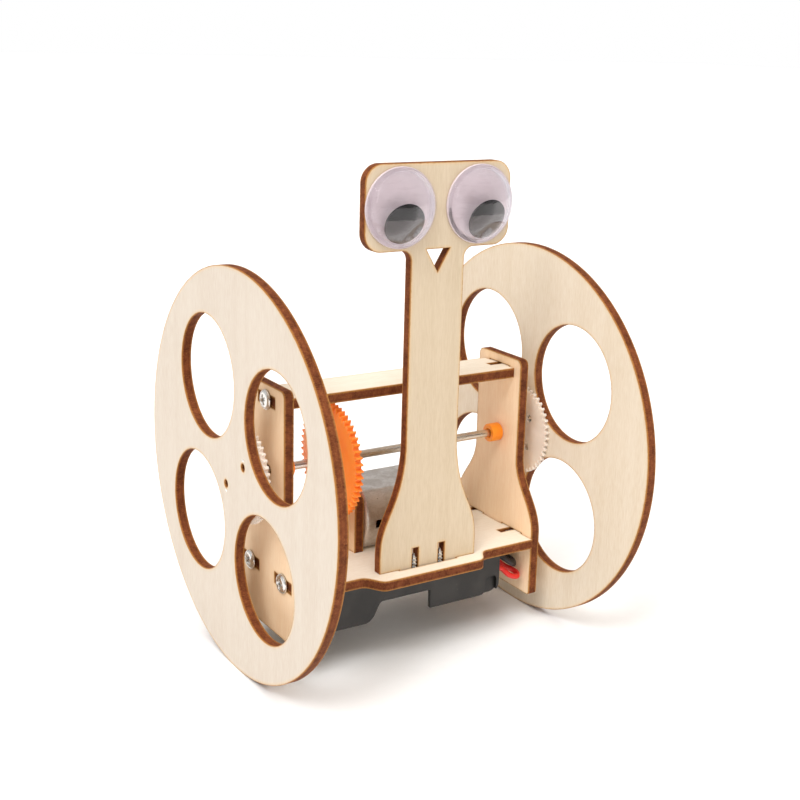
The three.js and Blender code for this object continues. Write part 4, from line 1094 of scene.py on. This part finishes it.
def cap(base_r, rise, base_y):
    """Half the outline of a spherical cap that rises towards -Y, from its rim to its tip."""
    sphere_r = (base_r**2 + rise**2) / (2 * rise)
    full = math.asin(base_r / sphere_r)
    outline = []
    for angle in np.linspace(full, 0, 21):
        outline.append((sphere_r * math.sin(angle), base_y - rise + sphere_r * (1 - math.cos(angle))))
    outline[-1] = (0, outline[-1][1])
    return outline


def eye_dome(node):
    radius = (high(node) - low(node))[X] / 2
    seat, tip = high(node)[Y], low(node)[Y]
    base = seat - DOME_SIDE_H
    inner_r = DOME_R - DOME_WALL
    outer = cap(DOME_R, base - tip, base)
    inner = cap(inner_r, base - tip - DOME_WALL, base)
    edge, lip = FLANGE_EDGE_R, seat - FLANGE_THICK
    flange = [(inner_r, seat), (radius - edge, seat)]
    flange += [(radius - edge + r, seat - edge + h) for r, h in arc(0, 0, edge, 90, 0, 4)]
    flange += [(radius - edge + r, lip + edge + h) for r, h in arc(0, 0, edge, 0, -90, 4)]
    flange += [(DOME_R + DOME_FOOT, lip), (DOME_R + 0.01, lip - DOME_FOOT)]
    profile = [*inner[::-1], *flange, *outer]
    lathed(node, profile, Y, "eye_dome", EYE_COLUMNS)


def pupil(node):
    """The loose disc, turned about Y and then laid on the plane that the CAD disc leans in."""
    corners, _ = merged(node)
    centre = (corners.min(0) + corners.max(0)) / 2
    _, _, axes = np.linalg.svd(corners - centre)
    lean = axes[2] * np.sign(axes[2][Y])
    depth = (corners - centre) @ lean
    rim_r = np.linalg.norm(corners - centre - np.outer(depth, lean), axis=1).max()
    half, edge = (depth.max() - depth.min()) / 2, PUPIL_EDGE_R
    profile = [(0, -half), *arc(rim_r - edge, edge - half, edge, -90, 0, 4)]
    profile += [*arc(rim_r - edge, half - edge, edge, 0, 90, 4), (0, half)]
    disc = flipped(turned(f"{node}_fine", profile, Y, np.zeros(3), LOOKS["pupil_black"], EYE_COLUMNS))
    turn = Vector((0, 1, 0)).rotation_difference(Vector(lean)).to_matrix().to_4x4()
    disc.data.transform(Matrix.Translation(Vector(centre) * MM) @ turn)
    stand_for(disc, node)


for side in ("left", "right"):
    eye_back(f"{side}_eye_back")
    eye_dome(f"{side}_eye_dome")
    pupil(f"{side}_pupil")


# ---------------------------------------------------------------- battery holder

HOLDER_WALL = 1.4
END_WALL = 2.0
TROUGH_R = 7.1
TROUGH_Y = 7.2  # from the holder's middle
RIB_Z = 14.0
END_ROUND_R = 2.6
TOP_ROUND_R = 0.5
POCKET_OUT_X = 0.8
POCKET_W = 3.5
POCKET_DEEP = 0.9
POCKET_TOP_Z = 14.6
POCKET_CORNER_R = 1.1
POCKET_FOOT_R = 1.6
NOTCH_TOP_Z = 14.9
NOTCH_X = (-10.8, 4.3)
NOTCH_FLARE = 3.4


def curve(points):
    """A cubic curve through its first and last points, drawn to its two handles."""
    a, b, c, d = (np.array(p, float) for p in points)
    ts = np.linspace(0, 1, 11)
    return [tuple(a * (1 - t)**3 + 3 * b * t * (1 - t)**2 + 3 * c * t**2 * (1 - t) + d * t**3) for t in ts]


def pocket_outline(floor_z, below):
    """The pocket beside an end: round at its top, and flared at its foot away from the end."""
    near, far, r = POCKET_OUT_X, POCKET_OUT_X + POCKET_W, POCKET_CORNER_R
    foot_z = floor_z + POCKET_FOOT_R
    outline = [(near, below), *arc(near + r, POCKET_TOP_Z - r, r, 180, 90, 8)]
    outline += arc(far - r, POCKET_TOP_Z - r, r, 90, 0, 8)
    outline += arc(far + POCKET_FOOT_R, foot_z, POCKET_FOOT_R, 180, 270, 8)
    return [*outline, (far + POCKET_FOOT_R, below)]


def holder():
    node = "battery_holder"
    (x0, y0, z0), (x1, y1, z1) = low(node), high(node)
    middle_y = (y0 + y1) / 2
    r, top_r = END_ROUND_R, TOP_ROUND_R
    outline = [*arc(x1 - r, z0 + r, r, -90, 0, 10), *arc(x1 - top_r, z1 - top_r, top_r, 0, 90, 3)]
    outline += [*arc(x0 + top_r, z1 - top_r, top_r, 90, 180, 3), *arc(x0 + r, z0 + r, r, 180, 270, 10)]
    tray = prism(f"{node}_fine", outline, Y, y0, y1, LOOKS["black_plastic"])
    cell_z = z1 - HOLDER_WALL - TROUGH_R
    below = z0 - 2
    for side in (-1, 1):
        y = middle_y + side * TROUGH_Y
        trough = [*arc(y, cell_z, TROUGH_R, 0, 180, 24), (y - TROUGH_R, below), (y + TROUGH_R, below)]
        combine(tray, prism("trough", trough, X, x0 + END_WALL, x1 - END_WALL), "DIFFERENCE")
    front, back = y0 + HOLDER_WALL, y1 - HOLDER_WALL
    room = [(front, below), (back, below), (back, RIB_Z), (front, RIB_Z)]
    combine(tray, prism("room", room, X, x0 + END_WALL, x1 - END_WALL), "DIFFERENCE")
    left, right = NOTCH_X
    notch = [(left - NOTCH_FLARE, below), (right, below), (right, NOTCH_TOP_Z), (left + 1, NOTCH_TOP_Z)]
    notch += curve([(left + 1, NOTCH_TOP_Z), (left - 0.6, NOTCH_TOP_Z - 0.7),
                    (left - 0.4, z0 + 0.6), (left - NOTCH_FLARE, z0)])[1:]
    combine(tray, prism("notch", notch, Y, y0 - 1, y1 + 1), "DIFFERENCE")
    for end_x, way in ((x0, 1), (x1, -1)):
        pocket = [(end_x + way * u, z) for u, z in pocket_outline(z0, below)]
        combine(tray, prism("pocket", pocket, Y, y0 - 1, y0 + POCKET_DEEP), "DIFFERENCE")
        combine(tray, prism("pocket", pocket, Y, y1 - POCKET_DEEP, y1 + 1), "DIFFERENCE")
    softened(tray, 0.18, 30)
    shaded(tray, 30)
    stand_for(tray, node)


holder()


# ---------------------------------------------------------------- wires and springs

def centre_line(node, sides):
    """The middle of each ring of a CAD tube, from the end that lies lowest along X."""
    corners, triangles = merged(node)
    links = {}
    for t in triangles:
        for a, b in zip(t, np.roll(t, -1)):
            links.setdefault(int(a), set()).add(int(b))
            links.setdefault(int(b), set()).add(int(a))
    seed = sorted(range(len(corners)), key=lambda i: corners[i, X])[:sides]
    line, seen, level = [], set(seed), set(seed)
    while level:
        line.append(corners[sorted(level)].mean(0))
        level = {j for i in level for j in links[i]} - seen
        seen |= level
    return np.array(line)


def smooth_line(points, per_span):
    """A Catmull-Rom curve through points."""
    padded = np.vstack([2 * points[0] - points[1], points, 2 * points[-1] - points[-2]])
    line = []
    for i in range(1, len(padded) - 2):
        a, b, c, d = padded[i - 1:i + 3]
        for t in np.arange(per_span) / per_span:
            line.append(0.5 * (2 * b + (c - a) * t + (2 * a - 5 * b + 4 * c - d) * t**2
                               + (3 * b - a - 3 * c + d) * t**3))
    line.append(padded[-2])
    return np.array(line)


END_ROUND = ((0.3, 0.0), (0.27, 0.45), (0.15, 0.85))  # reach past the end and radius, in wire radii


def tube(name, line, radius, look, columns=20):
    """A round bar along a line, with rounded ends."""
    ahead = np.gradient(line, axis=0)
    ahead /= np.linalg.norm(ahead, axis=1)[:, None]
    side = np.cross(ahead[0], (0.3, 0.5, 0.8))
    angles = ring_angles(columns)
    rings = []
    for point, along in zip(line, ahead):
        side = side - along * (side @ along)
        side /= np.linalg.norm(side)
        ring = radius * (np.outer(np.cos(angles), side) + np.outer(np.sin(angles), np.cross(along, side)))
        if not rings:
            rings += [point - along * reach * radius + share * ring for reach, share in END_ROUND]
        rings.append(point + ring)
    rings += [point + along * reach * radius + share * ring for reach, share in END_ROUND[::-1]]
    return flipped(skinned(name, rings, look, smooth=60))


WIRE_R = 0.7
for node in ("red_wire", "black_wire"):
    line = smooth_line(centre_line(node, 6), 4)
    stand_for(tube(f"{node}_fine", line, WIRE_R, LOOKS[SLOT_OF[node]]), node)

SPRING_WIRE_R = 0.35
SPRING_TURNS = 3
SPRING_TAPER = 1.3
for node, direction in (("bridge_spring", 1), ("negative_spring", -1)):
    first, last, centre = low(node), high(node), middle(node)
    start, end = (first[X], last[X]) if direction > 0 else (last[X], first[X])
    start, end = start + direction * SPRING_WIRE_R, end - direction * SPRING_WIRE_R
    wide = (last - first)[Z] / 2 - SPRING_WIRE_R
    parts = np.linspace(0, 1, SPRING_TURNS * 24 + 1)
    radii = wide - SPRING_TAPER * parts
    angles = 2 * math.pi * SPRING_TURNS * parts
    line = np.stack([start + (end - start) * parts, centre[Y] + radii * np.cos(angles),
                     centre[Z] + radii * np.sin(angles)], 1)
    stand_for(tube(f"{node}_fine", line, SPRING_WIRE_R - 0.02, LOOKS["contact_steel"], 12), node)


# ---------------------------------------------------------------- CAD nodes that keep their own mesh

for node, piece in frame["nodes"].items():
    if piece.hide_render:
        continue
    piece.data.materials.clear()
    piece.data.materials.append(LOOKS[SLOT_OF[node]])
    softened(piece, 0.08 if SLOT_OF[node] != "foam_tape" else 0.15)


# ---------------------------------------------------------------- floor, light and camera

FLOOR_HALF = 6000.0


def floor():
    look = Look("floor_paper", Specular_IOR_Level=0.1)
    fibre = look.noise(look.mm(), 0.25, 4, 0.6)
    look.colour(look.mix(look.span(fibre, 0.3, 0.7), (0.94, 0.94, 0.94), (0.96, 0.96, 0.96)))
    look.roughness(0.7)
    vertices = [(x * FLOOR_HALF, y * FLOOR_HALF, 0.0) for x, y in ((-1, -1), (1, -1), (1, 1), (-1, 1))]
    piece = new_object("floor", vertices, [[0, 1, 2, 3]], [look.material])


FILL_STRENGTH = 0.62
FILL_COLOUR = (0.86, 0.78, 0.71)
GLOSS_COLOUR = (0.8, 0.8, 0.8)


def studio():
    """White surroundings: a warm fill for matt surfaces, and for glossy ones a front that is dimmer."""
    world = bpy.data.worlds.new("studio")
    world.use_nodes = True
    bpy.context.scene.world = world
    sky = Nodes(world.node_tree, "OutputWorld")
    rays = sky.add("LightPath")
    glossy = rays.outputs["Is Glossy Ray"]
    place = sky.add("SeparateXYZ", Vector=sky.add("TexCoord").outputs["Generated"])
    from_front = sky.span(place.outputs["Y"], -0.95, -0.35, 0.12, 0.85)
    strength = sky.add("Mix", Factor=glossy, A=FILL_STRENGTH, B=from_front).outputs[0]
    light = sky.add("Background", Color=sky.mix(glossy, FILL_COLOUR, GLOSS_COLOUR), Strength=strength)
    seen = sky.add("Background", Color=(1.0, 1.0, 1.0))
    sky.show(sky.layered(rays.outputs["Is Camera Ray"], light, seen))


def towards(azimuth, elevation):
    """The direction from the object to a place; azimuth 0 is in front of it and 90 at its right."""
    a, e = math.radians(azimuth), math.radians(elevation)
    return Vector((math.sin(a) * math.cos(e), -math.cos(a) * math.cos(e), math.sin(e)))


LAMP_DISTANCE = 0.8


def lamp(name, kind, azimuth, elevation, power, mirrored=False, **settings):
    """A lamp that shines on the object's middle; only a mirrored one shows in glossy surfaces."""
    light = bpy.data.lights.new(name, kind)
    light.energy = power
    for key, value in settings.items():
        setattr(light, key, value)
    back = towards(azimuth, elevation)
    stand = bpy.data.objects.new(name, light)
    stand.location = (Vector(cad_low) + Vector(cad_high)) / 2 + LAMP_DISTANCE * back
    stand.visible_glossy = mirrored
    stand.rotation_euler = (-back).to_track_quat("-Z", "Y").to_euler()
    bpy.context.scene.collection.objects.link(stand)


CAMERA_PLACE = (-164.1, -260.7, 148.3)
CAMERA_AZIMUTH = -33.34
CAMERA_ELEVATION = 14.97
CAMERA_ROLL = -1.73
CAMERA_LENS = 58.77
CAMERA_SHIFT = (-0.0238, -0.0228)


def camera():
    roll = math.radians(CAMERA_ROLL)
    back = towards(CAMERA_AZIMUTH, CAMERA_ELEVATION)
    right = towards(CAMERA_AZIMUTH + 90, 0)
    up = back.cross(right)
    turned_right = math.cos(roll) * right - math.sin(roll) * up
    turned_up = math.cos(roll) * up + math.sin(roll) * right
    lens = bpy.data.cameras.new("camera")
    lens.lens = CAMERA_LENS
    lens.sensor_width = 36
    lens.shift_x, lens.shift_y = CAMERA_SHIFT
    lens.clip_start, lens.clip_end = 0.01, 50
    view = bpy.data.objects.new("camera", lens)
    turn = Matrix((turned_right, turned_up, back)).transposed().to_4x4()
    view.matrix_world = Matrix.Translation(Vector(CAMERA_PLACE) * MM) @ turn
    bpy.context.scene.collection.objects.link(view)
    bpy.context.scene.camera = view


floor()
studio()
lamp("key", "SUN", -60, 50, 0.52 * math.pi, color=(0.94, 0.98, 1.0), angle=math.radians(24))
lamp("top", "SUN", 20, 80, 0.48 * math.pi, angle=math.radians(60))
lamp("fill", "SUN", -25, 35, 0.12 * math.pi, angle=math.radians(40))
lamp("arc_left", "AREA", -84, 44, 0.30, True, shape="RECTANGLE", size=0.07, size_y=1.30)
lamp("arc_right", "AREA", -60, 48, 0.24, True, shape="RECTANGLE", size=0.05, size_y=1.10)
lamp("sparkle", "AREA", -72, 42, 0.12, True, shape="RECTANGLE", size=0.05, size_y=0.07)
camera()
bpy.context.scene.view_settings.view_transform = "Standard"
